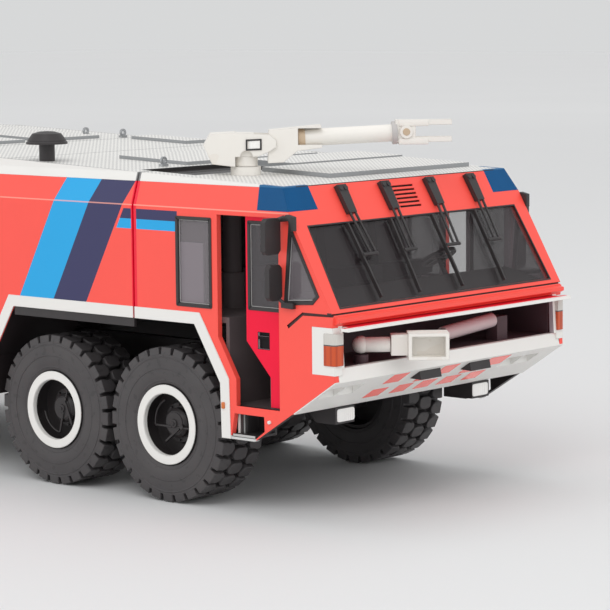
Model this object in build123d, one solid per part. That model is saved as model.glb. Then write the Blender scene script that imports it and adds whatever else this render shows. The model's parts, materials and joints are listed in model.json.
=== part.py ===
from build123d import *
import math
import os

# Scale display model of an eight wheeled airport fire truck, in millimetres.
# Sizes are in truck coordinates: x is 0 at the first axle and grows towards the
# front, y is 0 on the centre line and grows to the left, z is 0 on the ground.
# At the end every node is shifted so that the origin is below the middle of the box.

# Overall body
HALF_W = 62.5            # half of the body width at the waist
CREASE_Z = 102.0         # height of the line above which the sides lean in
LEAN_TOP_Z = 113.0       # height at which the lean ends
LEAN = 3.5               # how far each side leans in up to the roof edge
WALL = 2.0               # wall of the moulded cab and body shells
COLOUR_Z = 110.0         # top of the red shells, bottom of the white roofs
SILL_Z = 63.1            # underside of the body above the wheels
ROOF_FRONT_X = 54.6      # front edge of the cab roof
ROOF_FRONT_Z = 110.4
ROOF_RISE = 0.0385       # rise of the roof for each millimetre towards the rear
ROOF_FLAT_X = -200.0     # behind this the roof is level
REAR_X = -400.0          # rear face of the body
REAR_LIP = 3.0           # bevel round the rear face
SEAM_X = -11.3           # front side of the gap between cab and body
SEAM_GAP = 0.8
FIT = 0.1                # clearance of an insert in its opening
OVER = 5.0               # how far a cutting form runs past the face it cuts

# Wheels and axles
TYRE_R = 26.8
TYRE_GAP = 2.0           # between the two tyres of a pair
AXLE_SPACING = 2 * TYRE_R + TYRE_GAP       # between the two axles of a pair
MID_SPACING = 181.0      # between axle two and axle three
TYRE_W = 21.0
TYRE_INSET = 2.5         # tyre inside the side of the body
TYRE_BORE_R = 14.0
TYRE_SHOULDER_R = 23.0   # inner end of the lugs on the side wall
TYRE_WALL_R = 20.0       # where the side wall is widest
LUG_INSET = 1.0          # how far the lugs end inside the widest wall
LUGS = 22                # on each half of the tread
LUG_DEPTH = 2.4
LUG_SHARE = 0.56         # part of the pitch that a lug takes
RIM_GAP = 0.1            # between tyre bead and rim barrel
RIM_BARREL_WALL = 1.2
RIM_RING_R = 10.8        # inner edge of the outer rim flange
RIM_FLANGE = 1.6
RIM_INSET = 0.4          # flange inside the tyre's widest wall
BEAD_INSET = 1.5
HUB_R = 5.2
HUB_INSET = 4.5          # hub cap inside the tyre's widest wall
HUB_DISC = 2.0           # thickness of the disc that carries the hub
WHEEL_Y = HALF_W - TYRE_INSET - TYRE_W / 2          # middle of a tyre
HUB_BORE_CLEARANCE = 0.06
SPINDLE_R = 2.5
SPINDLE_END = 2.0        # spindle beyond the middle of the tyre
KINGPIN_IN = 6.5         # kingpin from the middle of the tyre
KINGPIN_Y = WHEEL_Y - KINGPIN_IN
KINGPIN_R = 1.4
KNUCKLE_SIZE = 6.5
YOKE_T = 2.2             # thickness of a kingpin ear
YOKE_HALF = 3.0          # half width of the yoke
YOKE_GAP = 0.4           # between knuckle and ear
AXLE_BEAM_R = 3.0
DIFF_R = 8.5
DIFF_HALF_W = 3.5        # flat rim of the differential case
DIFF_CONE_W = 9.0        # half width over its cones

# Chassis
RAIL_Y = 17.0            # middle of a rail
RAIL_T = 4.0
RAIL_LIP = 1.2           # flange of the channel section
RAIL_Z0 = 41.0
RAIL_Z1 = 50.0
RAIL_FRONT_X = 45.0
RAIL_REAR_X = -386.0
TUNNEL_HALF_W = 25.0     # clear space in the body around the rails
TUNNEL_Z = 58.0
MEMBER_HALF = 2.0        # half thickness of a cross member
TOW_X = -392.0           # vertical pin hole of the rear tow coupling
TOW_T = 5.0
TOW_HALF_W = 4.5
TOW_BORE_R = 1.2
ENGINE = (-378.0, -328.0, 20.0, RAIL_Z1, 92.0)      # x0, x1, half width, z0, z1

# Cab front
RIDGE_X = 78.1           # foot of the slanted front, above the lip
RIDGE_Z = 69.7
LIP_X = 79.9             # nose of the lip under the windshield
LIP_Z = 68.3
LIP_HALF_W = HALF_W - 1.0
GROOVE = 0.6             # height and depth of the black groove above the lip
BREAK_X = 78.9           # where the bumper turns under
BREAK_Z = 48.1
BAY_TOP_Z = 66.4
BAY_BOTTOM_Z = 52.6      # top of the white lower front
BAY_FLOOR_Z = BAY_BOTTOM_Z - 0.5
BAY_DEPTH = 27.0
BAY_SIDE_T = 1.2
LAMP_BLOCK_W = 3.8       # how far a headlamp block reaches round to the front
BAY_HALF_W = HALF_W - LAMP_BLOCK_W - BAY_SIDE_T
BAY_BACK_X = RIDGE_X - WALL - BAY_DEPTH
LAMP_BLOCK_X = 69.0      # rear edge of the white block that holds a headlamp
LAMP_BLOCK_Z0 = 50.5
LAMP_BLOCK_Z1 = 66.0
HEADLAMP_X = 74.0
HEADLAMP_Z0 = 53.8
HEADLAMP_Z1 = 64.0
BUMPER_BOTTOM_X = 61.0
BUMPER_BOTTOM_Z = 36.4
BUMPER_SKIN = 0.4        # white skin that reaches the sides of the cab
NOTCH_X = 70.0           # upright back wall of the notches in the bumper
NOTCH_Z = 45.9
LUG_NOSE = (78.2, 44.3)  # x and z of the nose of a front towing lug
LUG_W = 11.2
STEP_X = 43.5            # rear end of the slanted lower edge
STEP_Z = 25.7
FLAP_T = 1.1
FLAP_Z = 65.0
FLAP_FRONT_X = 83.3
FLAP_REAR_X = 69.5

# Wheel arches
ARCH_TRIM = 4.0          # height of the white band around the wheels
TRIM_T = 0.3
ARCH_FOOT_X = 28.9       # foot of the wheel arch, from the axle
ARCH_KNEE_X = 28.4
ARCH_KNEE_Z = 44.1
ARCH_TOP_X = 16.8
SKIRT_Z = 60.0           # lower edge of the black strip above the wheels
SKIRT_T = 1.2
LOCKER_Z = 30.0          # lower edge of the lockers
REAR_LOW_Z = 34.0

# Windshield and side windows
SHIELD_TOP_Z = 97.7
SHIELD_BOTTOM_Z = 71.9
PILLAR_TOP_W = 6.5       # front pillar beside the windshield, at its top
PILLAR_BOTTOM_W = 4.9
GLASS_T = 1.0
GLASS_INSET = 0.6
REAR_WINDOW = (9.0, 24.5, 69.2, 98.7)      # x0, x1, z0, z1
DOOR_WINDOW = (39.7, 55.6, 69.7, 98.4)
QUARTER_WINDOW = [(59.6, 99.6), (57.1, 72.2), (69.6, 73.1), (72.3, 75.8)]

# Doorway, and the door that stands open inside it
DOOR_TOP_Z = 100.4
DOOR_REAR_X = 27.5
DOOR_FRONT_X = 54.8
DOOR_SILL_Z = 37.0
DOOR_KNEE_X = 35.5
DOOR_KNEE_Z0 = 46.0
DOOR_KNEE_Z1 = 59.5
DOOR_SHIFT = 10.8        # the open door stands this much further forward
DOOR_T = 1.6
DOOR_GAP = 0.3           # between the door and the inside of the shell
DOOR_FRONT_CUT_X = 57.6
DOOR_HANDLE = (43.5, 48.4, 56.6, 62.0)     # x0, x1, z0, z1
HANDLE_DEPTH = 0.8
STEP_HOLE = [(34.6, 34.4), (47.8, 34.4), (48.0, 29.5), (43.9, 26.5), (33.1, 26.5)]
STEP_PLATE_T = 0.9
STEP_PLATE_W = 10.0

# Cab floor and crew
FLOOR_Z = 66.0
FLOOR_T = 2.0
WELL_X0 = 30.7
WELL_X1 = 47.0
WELL_Y = HALF_W - 24.5
WELL_WALL = 1.5
COLUMN_X = 9.5           # riser of the roof monitor inside the cab
COLUMN_Y = 26.9 - HALF_W
COLUMN_R = 3.2
SEAT_PITCH = (HALF_W - 18.5) / 2
SEATS = (                # x of the seat back, y of the seat middle
    (-6.0, -SEAT_PITCH), (-6.0, 0.0), (-6.0, SEAT_PITCH), (-6.0, 2 * SEAT_PITCH),
    (26.0, 0.0), (26.0, 28.0))
SEAT_W = 15.0
SEAT_D = 15.0
SEAT_BACK_H = 34.0
SEAT_TOP = 13.0          # cushion, above the floor
SEAT_LOW = 8.0
SEAT_FOOT = 5.0          # foot behind the front of the cushion
DASH_X = 55.0            # rear face of the dashboard
DASH_H = 9.0             # its top above the floor
WHEEL_MIDDLE = (49.5, 28.0, 80.5)          # steering wheel
WHEEL_R = 6.8
WHEEL_RIM = 1.2
WHEEL_LEAN = 30.0        # degrees from level
COLUMN_LENGTH = 11.5

# Body behind the cab
LOCKERS = ((-146.0, -94.0), (-203.0, -151.0))       # x from and to of each shutter
LOCKER_Z0 = 40.0
LOCKER_Z1 = 99.0
LOCKER_DEPTH = 1.2
SLATS = 14
GRILLE_HALF_W = HALF_W - 22.5
GRILLE_Z0 = 64.0
GRILLE_Z1 = 98.0
GRILLE_T = 1.2
GRILLE_BARS = 8
REAR_LAMPS = ((62.0, 68.0), (70.0, 76.0), (78.0, 84.0))      # z from and to
REAR_LAMP_W = 10.5
LADDER_Y = (-(HALF_W - 16.0), -(HALF_W - 28.5))
LADDER_STAY_Z = (62.0, 99.0)
LADDER_Z = (40.0, 108.0)
LADDER_RUNGS = 7
LADDER_R = 0.9
LADDER_OFF = 4.0         # ladder behind the rear face

# Roof
ROOF_SLOT = (-18.0, 8.0, -(HALF_W - 10.5), -6.0, 1.5)      # x0, x1, y0, y1, depth
HATCHES = (              # x0, x1, y0, y1, height of each raised roof plate
    (11.4, 42.5, 40.5 - HALF_W, HALF_W - 7.5, 1.5),
    (-11.0, 11.2, -5.5, HALF_W - 7.0, 2.0),
    (-55.0, -21.0, 37.0 - HALF_W, HALF_W - 17.5, 1.2),
    (-118.0, -88.0, HALF_W - 18.5, HALF_W - 5.5, 1.2),
    (-190.0, -128.0, 26.5 - HALF_W, -4.0, 1.2),
    (-190.0, -128.0, 4.0, HALF_W - 26.5, 1.2),
    (-290.0, -205.0, 17.5 - HALF_W, HALF_W - 17.5, 1.2),
    (-385.0, -305.0, 22.5 - HALF_W, HALF_W - 22.5, 2.0))
DECK_JOINTS = (-79.5, -123.0, -197.0, -298.0)       # x of the joints across the deck
DECK_EDGE_Y = HALF_W - LEAN - 1.0
DECK_JOINT = 0.5         # width and depth of a joint
VENT_X = -63.3
VENT_Y = -(HALF_W - 9.1)
VENT_STEM_R = 2.8
VENT_STEM_H = 6.0
VENT_R = 7.4
VENT_DOME_H = 4.6
RINGS = (                # x of each lifting ring, side, and its distance from the side of the body
    (-139.5, 1, 22.8), (-125.4, 1, 15.9), (-22.4, -1, 26.5), (-139.5, -1, 22.8),
    (-300.0, 1, 14.5), (-300.0, -1, 14.5))
RING_R = 1.5
RING_HOLE_R = 0.75
RING_T = 0.8

# Roof monitor, in its own frame: s along the barrel, z from the roof below it
MONITOR_X = 16.3
MONITOR_SIDE = 26.9      # turning axis from the side of the body
MONITOR_Y = -(HALF_W - MONITOR_SIDE)
MONITOR_YAW = 43.0
MONITOR_LEG_R = 3.7
MONITOR_FOOT_R = 5.2
MONITOR_FOOT_H = 2.8
TRUNNION_S = 8.0         # pitch axis ahead of the turning axis
TRUNNION_H = 10.6
TRUNNION_HALF_W = 4.6
TRUNNION_PIN_R = 1.2
CHEEK_GAP = 0.2
CHEEK_T = 0.9
COUNTERWEIGHT = [(-14.4, 10.3), (-12.2, 14.2), (-3.6, 14.6), (-3.6, 2.9), (-11.5, 3.9)]
CHEEK = [(-4.0, 6.3), (4.0, 6.3), (8.0, 8.0), (10.4, 9.5), (10.4, 11.8), (8.0, 13.8), (-4.0, 14.4)]
CRADLE = [(7.5, 4.0), (12.8, 4.2), (17.6, 8.1), (26.0, 9.0), (25.7, 16.8), (7.9, 15.2)]
CRADLE_SLOT_S = 17.8     # ahead of this the cradle is open on its right side
CRADLE_TOP = 1.1         # thickness of its roof and floor beside the tube
TUBE_S = (17.0, 50.2)
TUBE_H = (12.2, 13.7)    # axis of the tube at its two ends
TUBE_R = 2.95
COLLAR_R = 3.8
COLLAR_T = 1.5
FORK_S = (51.6, 58.0, 70.4)                # neck, start and tip of the two tines
FORK_H = 14.4
FORK_HALF_H = 3.8
TINE_T = 1.8
TINE_W = 4.6
FORK_HOLE_R = 0.8
NOTCH_R = 2.1            # half round notch at the top of the leg

# Bumper monitor
BM_X = 72.0
BM_Y = -(BAY_HALF_W - 16.0)
BM_Z = 58.2
BM_YAW = -47.0
BM_BALL_R = 2.9
BM_ARM_R = 2.5
BM_ARM_END = 9.6
BM_POST_R = 2.4
BM_HEAD = (12.6, 5.6, 6.0, 6.8)            # middle and length along the arm, depth, height
BM_NOZZLE = (21.9, 13.4, 9.5, 8.8)
BM_MOUTH_W = 11.0
BM_MOUTH_H = 6.6
BM_MOUTH_DEPTH = 5.5
BM_NOZZLE_OUT = 1.75     # nozzle ahead of the arm's axis

# Pieces on the cab front
WIPERS = (               # y of the pivot, of the arm's end, and of the blade's two ends
    (-33.2, -31.6, -37.7, -36.5),
    (-10.7, -11.0, -15.3, -16.2),
    (13.7, 12.7, 7.1, 7.0),
    (36.5, 35.8, 30.9, 30.5))
WIPER_PIVOT_Z = 108.3
WIPER_CAP_Z = 100.0      # lower end of the tapered cap
WIPER_END_Z = 86.7
BLADE_TOP_Z = 97.0
BLADE_BOTTOM_Z = 73.4
WIPER_ROD_R = 0.45
WIPER_ROD_Y = 1.35       # each rod from the middle of the arm
WIPER_OUT = 1.4          # rods above the front face
BLADE_T = 0.7
LOUVRE = (-6.0, 5.5, 100.2, 108.2)         # y0, y1, z0, z1
LOUVRE_SLOTS = 6
LOUVRE_SLOT_H = 0.75
LOUVRE_DEPTH = 1.0
BEACON_SIDE_X = 44.4     # rear end of a corner beacon on the side
BEACON_REACH = 15.0      # how far it reaches round to the front
BEACON_Y = HALF_W - BEACON_REACH
BEACON_Z0 = CREASE_Z + 0.6
BEACON_WALL = 3.4
MIRRORS = (              # inner y and outer y from the body, z0 and z1 of each mirror head
    (1.5, 9.0, 89.0, 100.8),
    (1.0, 7.2, 73.9, 85.6))
MIRROR_X = 55.2
MIRROR_T = 2.0
MIRROR_CORNER = 1.2
MIRROR_TOP = (58.0, 101.0)                 # x and z where the upper bracket meets the pillar
MIRROR_FOOT = (59.6, 71.7)
BRACKET_R = 0.6
FOG_X = 61.2             # front of the fog lamps
FOG_DEPTH = 11.4
FOG_Y0 = HALF_W - 30.2
FOG_Y1 = HALF_W - 20.5
FOG_Z0 = 30.5
FOG_Z1 = 37.0
FOG_FRAME = 1.0
PIPE_X = 70.0
PIPE_Y = (4.4, 32.0)
PIPE_Z = (57.0, 59.2)
PIPE_R = 2.5
PIPE_WALL = 0.6

ROOF_HALF_W = HALF_W - LEAN
CUT_Z = ROOF_FRONT_Z + 30.0                # cuts that leave through the roof end here
SHIELD_TOP_HALF_W = HALF_W - PILLAR_TOP_W
SHIELD_BOTTOM_HALF_W = HALF_W - PILLAR_BOTTOM_W
AXLE_X = (0.0, -AXLE_SPACING, -AXLE_SPACING - MID_SPACING,
          -2 * AXLE_SPACING - MID_SPACING)
BODY_FRONT_X = SEAM_X - SEAM_GAP
CROSS_MEMBERS = (RAIL_FRONT_X - 4, -AXLE_SPACING / 2, -110.0, -170.0,
                 (AXLE_X[2] + AXLE_X[3]) / 2)
BODY_MOUNTS = (          # x and top of each pad on the rails
    (14.0, FLOOR_Z - FLOOR_T), (-6.0, FLOOR_Z - FLOOR_T), (-100.0, TUNNEL_Z),
    (-190.0, TUNNEL_Z), (-321.0, TUNNEL_Z))
NOTCHES = (              # y from and to
    (1.0 - HALF_W, 9.2 - HALF_W), (10.1 - HALF_W, 18.8 - HALF_W),
    (HALF_W - 28.1, HALF_W - 19.3), (HALF_W - 18.3, HALF_W - 9.6))
TOW_LUGS = (-17.7, 9.7)  # y of the right side of each front towing lug
SIDES = (("right", -1), ("left", 1))
FRONT_SLOPE = (ROOF_FRONT_X - RIDGE_X) / (ROOF_FRONT_Z - RIDGE_Z)
FRONT_NORMAL = Vector(1, 0, -FRONT_SLOPE).normalized()

nodes = {}


def block(x0, x1, y0, y1, z0, z1):
    """A box between two corners."""
    middle = ((x0 + x1) / 2, (y0 + y1) / 2, (z0 + z1) / 2)
    return Pos(*middle) * Box(abs(x1 - x0), abs(y1 - y0), abs(z1 - z0))


def prism_y(outline, y0, y1):
    """An outline of (x, z) points, extruded across the truck."""
    face = make_face(Polyline(*[(x, y0, z) for x, z in outline], close=True))
    return extrude(face, amount=y1 - y0, dir=(0, 1, 0))


def prism_x(outline, x0, x1):
    """An outline of (y, z) points, extruded along the truck."""
    face = make_face(Polyline(*[(x0, y, z) for y, z in outline], close=True))
    return extrude(face, amount=x1 - x0, dir=(1, 0, 0))


def rod(start, end, radius):
    """A round bar from one point to another."""
    start, end = Vector(*start), Vector(*end)
    run = end - start
    plane = Plane(origin=(start + end) / 2, z_dir=run)
    return plane * Cylinder(radius, run.length)


def turned(outline):
    """An outline of (radius, height) points, turned about the z axis."""
    face = make_face(Polyline(*[(r, 0, z) for r, z in outline], close=True))
    return revolve(face, axis=Axis.Z)


def both_sides(piece):
    """The piece and its mirror image on the other side of the truck."""
    return [piece, mirror(piece, about=Plane.XZ)]


def add(name, pieces):
    """Store a node made of one or more solids."""
    nodes[name] = pieces if isinstance(pieces, list) else [pieces]


def roof_z(x):
    """Height of the roof surface at a place along the truck."""
    return ROOF_FRONT_Z + ROOF_RISE * (ROOF_FRONT_X - max(x, ROOF_FLAT_X))


def front_x(z):
    """Place of the slanted front face at a height above the ridge."""
    return RIDGE_X + FRONT_SLOPE * (z - RIDGE_Z)


def front_point(y, z, out):
    """A point that stands out from the slanted front face."""
    point = Vector(front_x(z), y, z) + FRONT_NORMAL * out
    return (point.X, point.Y, point.Z)


def front_plane(y, z):
    """Frame on the slanted front: x across, y up along the face, z outwards."""
    return Plane(origin=(front_x(z), y, z), x_dir=(0, 1, 0), z_dir=FRONT_NORMAL)


def side_section(inset, z0, z1):
    """Cross section of cab and body, with the sides leaning in above the crease."""
    waist = HALF_W - inset
    top = ROOF_HALF_W - inset
    half = [(waist, z0), (waist, CREASE_Z), (top, LEAN_TOP_Z), (top, z1)]
    return half + [(-y, z) for y, z in reversed(half)]


def arch_half(x, side, foot_z, extra):
    """Half a wheel arch from top to foot, side 1 ahead of the axle and -1 behind it."""
    return [(x + side * (ARCH_TOP_X + extra * 0.6), SILL_Z + extra),
            (x + side * (ARCH_KNEE_X + extra), ARCH_KNEE_Z + extra * 0.4),
            (x + side * (ARCH_FOOT_X + extra), foot_z)]


# Cab

def bumper_line(inset):
    """Lower and upper end of the slanted bumper face, moved into the cab by inset."""
    run = Vector(BREAK_X - BUMPER_BOTTOM_X, 0, BREAK_Z - BUMPER_BOTTOM_Z).normalized()
    dx, dz = -run.Z * inset, run.X * inset
    return [(BUMPER_BOTTOM_X + dx, BUMPER_BOTTOM_Z + dz), (BREAK_X + dx, BREAK_Z + dz)]


def cab_outline(skin):
    """Side outline of the cab, with room for the bumper's skin on the slanted face."""
    return [(SEAM_X, SILL_Z)] + arch_half(0, 1, STEP_Z, 0) + [(STEP_X, STEP_Z)] + \
        bumper_line(skin) + [
        (RIDGE_X - 0.4, BAY_TOP_Z), (RIDGE_X, RIDGE_Z),
        (front_x(COLOUR_Z), COLOUR_Z), (SEAM_X, COLOUR_Z)]


def door_opening_outline():
    return [(DOOR_REAR_X, DOOR_TOP_Z), (DOOR_REAR_X, DOOR_KNEE_Z1), (DOOR_KNEE_X, DOOR_KNEE_Z0),
            (DOOR_KNEE_X, DOOR_SILL_Z), (DOOR_FRONT_X, DOOR_SILL_Z), (DOOR_FRONT_X, DOOR_TOP_Z)]


def cab_form(skin):
    """The cab as a solid lump, before it is hollowed."""
    outer = prism_y(cab_outline(skin), -HALF_W, HALF_W)
    return outer & prism_x(side_section(0, 0, CUT_Z), SEAM_X - OVER, BREAK_X + OVER)


def make_cab_shell():
    inner_front = front_x(COLOUR_Z) - WALL * 1.2
    hollow = [(SEAM_X - OVER, 0), (RIDGE_X - 6, 0), (BREAK_X - WALL, BREAK_Z - 6),
              (RIDGE_X - WALL, BAY_TOP_Z), (RIDGE_X - WALL, RIDGE_Z - 0.8),
              (inner_front, COLOUR_Z), (inner_front, CUT_Z), (SEAM_X - OVER, CUT_Z)]
    cavity = prism_y(hollow, -HALF_W, HALF_W)
    cavity &= prism_x(side_section(WALL, 0, CUT_Z), SEAM_X - OVER, BREAK_X + OVER)
    shell = cab_form(BUMPER_SKIN) - cavity
    lip = [(RIDGE_X - WALL / 2, BAY_TOP_Z), (LIP_X, LIP_Z - 0.6), (LIP_X, LIP_Z + 0.6),
           (RIDGE_X - WALL / 2, RIDGE_Z - 0.1)]
    shell += prism_y(lip, -LIP_HALF_W, LIP_HALF_W)
    shell -= block(BUMPER_BOTTOM_X, LIP_X, -BAY_HALF_W, BAY_HALF_W, 0, BAY_TOP_Z)
    inside = HALF_W - WALL
    shell -= block(RIDGE_X - 12, BREAK_X + OVER, -inside, inside, 0, BAY_BOTTOM_Z)
    for lamp_block in both_sides(lamp_block_form()):
        shell -= lamp_block
    shell -= make_windshield_cut()
    x0, x1, z0, z1 = REAR_WINDOW
    depth = HALF_W - WALL - 1
    cuts = [prism_y(door_opening_outline(), depth, HALF_W + OVER),
            block(x0, x1, depth, HALF_W + OVER, z0, z1),
            prism_y(QUARTER_WINDOW, depth, HALF_W + OVER),
            prism_y(STEP_HOLE, depth, HALF_W + OVER),
            prism_y(side_groove(), HALF_W - GROOVE, HALF_W + OVER)]
    for cut in cuts:
        for side_cut in both_sides(cut):
            shell -= side_cut
    for corner in beacon_solids():
        shell -= corner
    for slot in louvre_slots():
        shell -= slot
    front_groove = front_plane(0, RIDGE_Z + GROOVE) * Box(2 * HALF_W + 2, GROOVE, 2 * GROOVE)
    return shell - front_groove


def side_groove():
    """Black groove that runs back from the lip and widens on its slanted end."""
    top, low = RIDGE_Z + GROOVE, RIDGE_Z - 0.1
    return [(LIP_X, top), (64.9, top), (58.2, 65.6), (58.9, 64.6), (65.2, low - 0.3), (LIP_X, low)]


def louvre_slots():
    y0, y1, z0, z1 = LOUVRE
    pitch = (z1 - z0) / LOUVRE_SLOTS
    slot = Box(y1 - y0, LOUVRE_SLOT_H, 2 * LOUVRE_DEPTH)
    return [front_plane((y0 + y1) / 2, z0 + (n + 0.5) * pitch) * slot for n in range(LOUVRE_SLOTS)]


def lamp_block_form():
    """Box at the front corner that the white headlamp block fills."""
    return block(LAMP_BLOCK_X, RIDGE_X + OVER, BAY_HALF_W + BAY_SIDE_T, HALF_W + 1,
                 LAMP_BLOCK_Z0, LAMP_BLOCK_Z1)


def shield_section(inset, shrink):
    """Four corners of the windshield, set back from the front face."""
    corners = [(SHIELD_BOTTOM_HALF_W - shrink, SHIELD_BOTTOM_Z + shrink),
               (SHIELD_TOP_HALF_W - shrink, SHIELD_TOP_Z - shrink)]
    outline = [(front_x(z) - inset, y, z) for y, z in corners]
    outline += [(x, -y, z) for x, y, z in reversed(outline)]
    return make_face(Polyline(*outline, close=True))


def make_windshield_cut():
    return loft([shield_section(-4 * WALL, 0), shield_section(4 * WALL, 0)])


def make_windshield():
    return loft([shield_section(GLASS_INSET, FIT), shield_section(GLASS_INSET + GLASS_T, FIT)])


def beacon_solids():
    """Corner lenses that wrap from the side round to the front."""
    top = COLOUR_Z + 0.3
    outline = [(BEACON_SIDE_X, top), (BEACON_SIDE_X + 1.0, BEACON_Z0), (LIP_X, BEACON_Z0),
               (LIP_X, top)]
    corner = prism_y(outline, BEACON_Y, HALF_W + 1) & cab_form(0)
    inner = HALF_W - LEAN - BEACON_WALL + 0.5
    corner -= block(BEACON_SIDE_X - OVER, front_x(COLOUR_Z) - BEACON_WALL, 0, inner, 0, CUT_Z)
    return both_sides(corner)


def make_cab_roof():
    wedge = [(SEAM_X, COLOUR_Z), (SEAM_X, roof_z(SEAM_X)), (ROOF_FRONT_X, ROOF_FRONT_Z),
             (front_x(COLOUR_Z), COLOUR_Z)]
    roof = prism_y(wedge, -HALF_W, HALF_W)
    roof &= prism_x(side_section(0, 0, CUT_Z), SEAM_X, BREAK_X)
    plug_half = ROOF_HALF_W - WALL - 1.2
    plug_front = ROOF_FRONT_X - 6.6
    roof += block(SEAM_X, plug_front, -plug_half, plug_half, COLOUR_Z - 1.8, COLOUR_Z + 0.5)
    for corner in beacon_solids():
        roof -= corner
    return roof - roof_slot()


def roof_plate(x0, x1, y0, y1, height):
    """A flat raised plate that follows the slope of the roof."""
    outline = [(x0, roof_z(x0)), (x1, roof_z(x1)), (x1, roof_z(x1) + height),
               (x0, roof_z(x0) + height)]
    return prism_y(outline, y0, y1)


def below_roof():
    """Everything under the roof surface, to fit the foot of a piece that stands on it."""
    low = COLOUR_Z - 5
    return prism_y([(REAR_X, low), (LIP_X, low), (LIP_X, roof_z(LIP_X)),
                    (ROOF_FLAT_X, roof_z(ROOF_FLAT_X)), (REAR_X, roof_z(REAR_X))], -HALF_W, HALF_W)


def roof_slot():
    """Sunken place behind the roof monitor, across cab and body."""
    x0, x1, y0, y1, depth = ROOF_SLOT
    outline = [(x0, roof_z(x0) - depth), (x1, roof_z(x1) - depth), (x1, CUT_Z), (x0, CUT_Z)]
    return prism_y(outline, y0, y1)


def make_cab_tub():
    """Floor with a step well on each side, and the wall behind the crew."""
    inside = HALF_W - WALL - 0.2
    low = DOOR_SILL_Z - 0.4
    top = COLOUR_Z - 2.0
    tub = block(SEAM_X, BAY_BACK_X - 0.2, -inside, inside, FLOOR_Z - FLOOR_T, FLOOR_Z)
    wall = block(SEAM_X, SEAM_X + WALL, -inside, inside, FLOOR_Z, top)
    tub += wall & prism_x(side_section(WALL + 0.2, 0, CUT_Z), SEAM_X - 1, SEAM_X + 3)
    for sign in (-1, 1):
        y0, y1 = sign * (WELL_Y - WELL_WALL), sign * inside
        x0, x1 = WELL_X0, WELL_X1
        tub += block(x0 - WELL_WALL, x1 + WELL_WALL, y0, y1, low - 1.8, FLOOR_Z - 1)
        tub -= block(x0, x1, sign * WELL_Y, sign * (inside + OVER), low, FLOOR_Z + 2)
    for sign in (-1, 1):
        tub -= block(DOOR_REAR_X + 8.0, WELL_X1 + 10, sign * (inside - DOOR_T - 0.4),
                     sign * (inside + 1), low, FLOOR_Z + 1)
    foot = (COLUMN_X, COLUMN_Y, FLOOR_Z - 1)
    tub += rod(foot, (COLUMN_X, COLUMN_Y, top), COLUMN_R)
    return tub + rod(foot, (COLUMN_X, COLUMN_Y, FLOOR_Z + 12), COLUMN_R + 1.2)


def make_monitor_bay():
    """Open fronted box behind the front flap, with the monitor's post and a pipe holder."""
    front = RIDGE_X - WALL - 0.4
    half = BAY_HALF_W
    side = BAY_SIDE_T - FIT
    bay = block(BAY_BACK_X, front, -half - side, half + side,
                BAY_BOTTOM_Z - 2.0, BAY_TOP_Z + 1.8)
    bay -= block(BAY_BACK_X + WALL, front + OVER, -half, half, BAY_FLOOR_Z, BAY_TOP_Z)
    post = BM_Z - BM_BALL_R - 0.3 - BAY_FLOOR_Z
    bay += Pos(BM_X, BM_Y, BAY_FLOOR_Z + post / 2) * Cylinder(BM_POST_R, post)
    y = PIPE_Y[1] + 0.2
    holder = block(PIPE_X - 2.4, PIPE_X + 2.4, y, y + 5.8, BAY_FLOOR_Z - 0.5, PIPE_Z[1] + 1.3)
    return bay + holder


def make_side_glass():
    x0, x1, z0, z1 = REAR_WINDOW
    outer = HALF_W - GLASS_INSET
    pane = block(x0 + FIT, x1 - FIT, outer - GLASS_T, outer, z0 + FIT, z1 - FIT)
    quarter = prism_y(QUARTER_WINDOW, outer - GLASS_T, outer)
    x0, x1, z0, z1 = DOOR_WINDOW
    outer = HALF_W - WALL - DOOR_GAP - 0.3
    door_pane = block(x0 + FIT, x1 - FIT, outer - GLASS_T, outer, z0 + FIT, z1 - FIT)
    return both_sides(pane) + both_sides(quarter) + both_sides(door_pane)


def door_panel_outline():
    """The door stands inside the shell; its front edge follows the pillar."""
    rear = DOOR_REAR_X + DOOR_SHIFT
    knee = DOOR_KNEE_X + DOOR_SHIFT + 2.6
    low = DOOR_SILL_Z + 0.4
    return [(rear, DOOR_TOP_Z), (rear, DOOR_KNEE_Z1 - 0.7), (knee, DOOR_KNEE_Z0 + 1.3),
            (knee, low), (DOOR_FRONT_CUT_X, low), (DOOR_FRONT_CUT_X, DOOR_TOP_Z)]


def make_doors():
    outer = HALF_W - WALL - DOOR_GAP
    door = prism_y(door_panel_outline(), outer - DOOR_T, outer)
    x0, x1, z0, z1 = DOOR_WINDOW
    door -= block(x0, x1, outer - DOOR_T - 1, outer + 1, z0, z1)
    x0, x1, z0, z1 = DOOR_HANDLE
    door -= block(x0, x1, outer - HANDLE_DEPTH, outer + 1, z0, z1)
    door += block(x0 - 0.2, x1 + 0.2, outer - HANDLE_DEPTH - 0.1, outer - 0.1, z1 - 2.2, z1 - 1.2)
    return both_sides(door)


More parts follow.
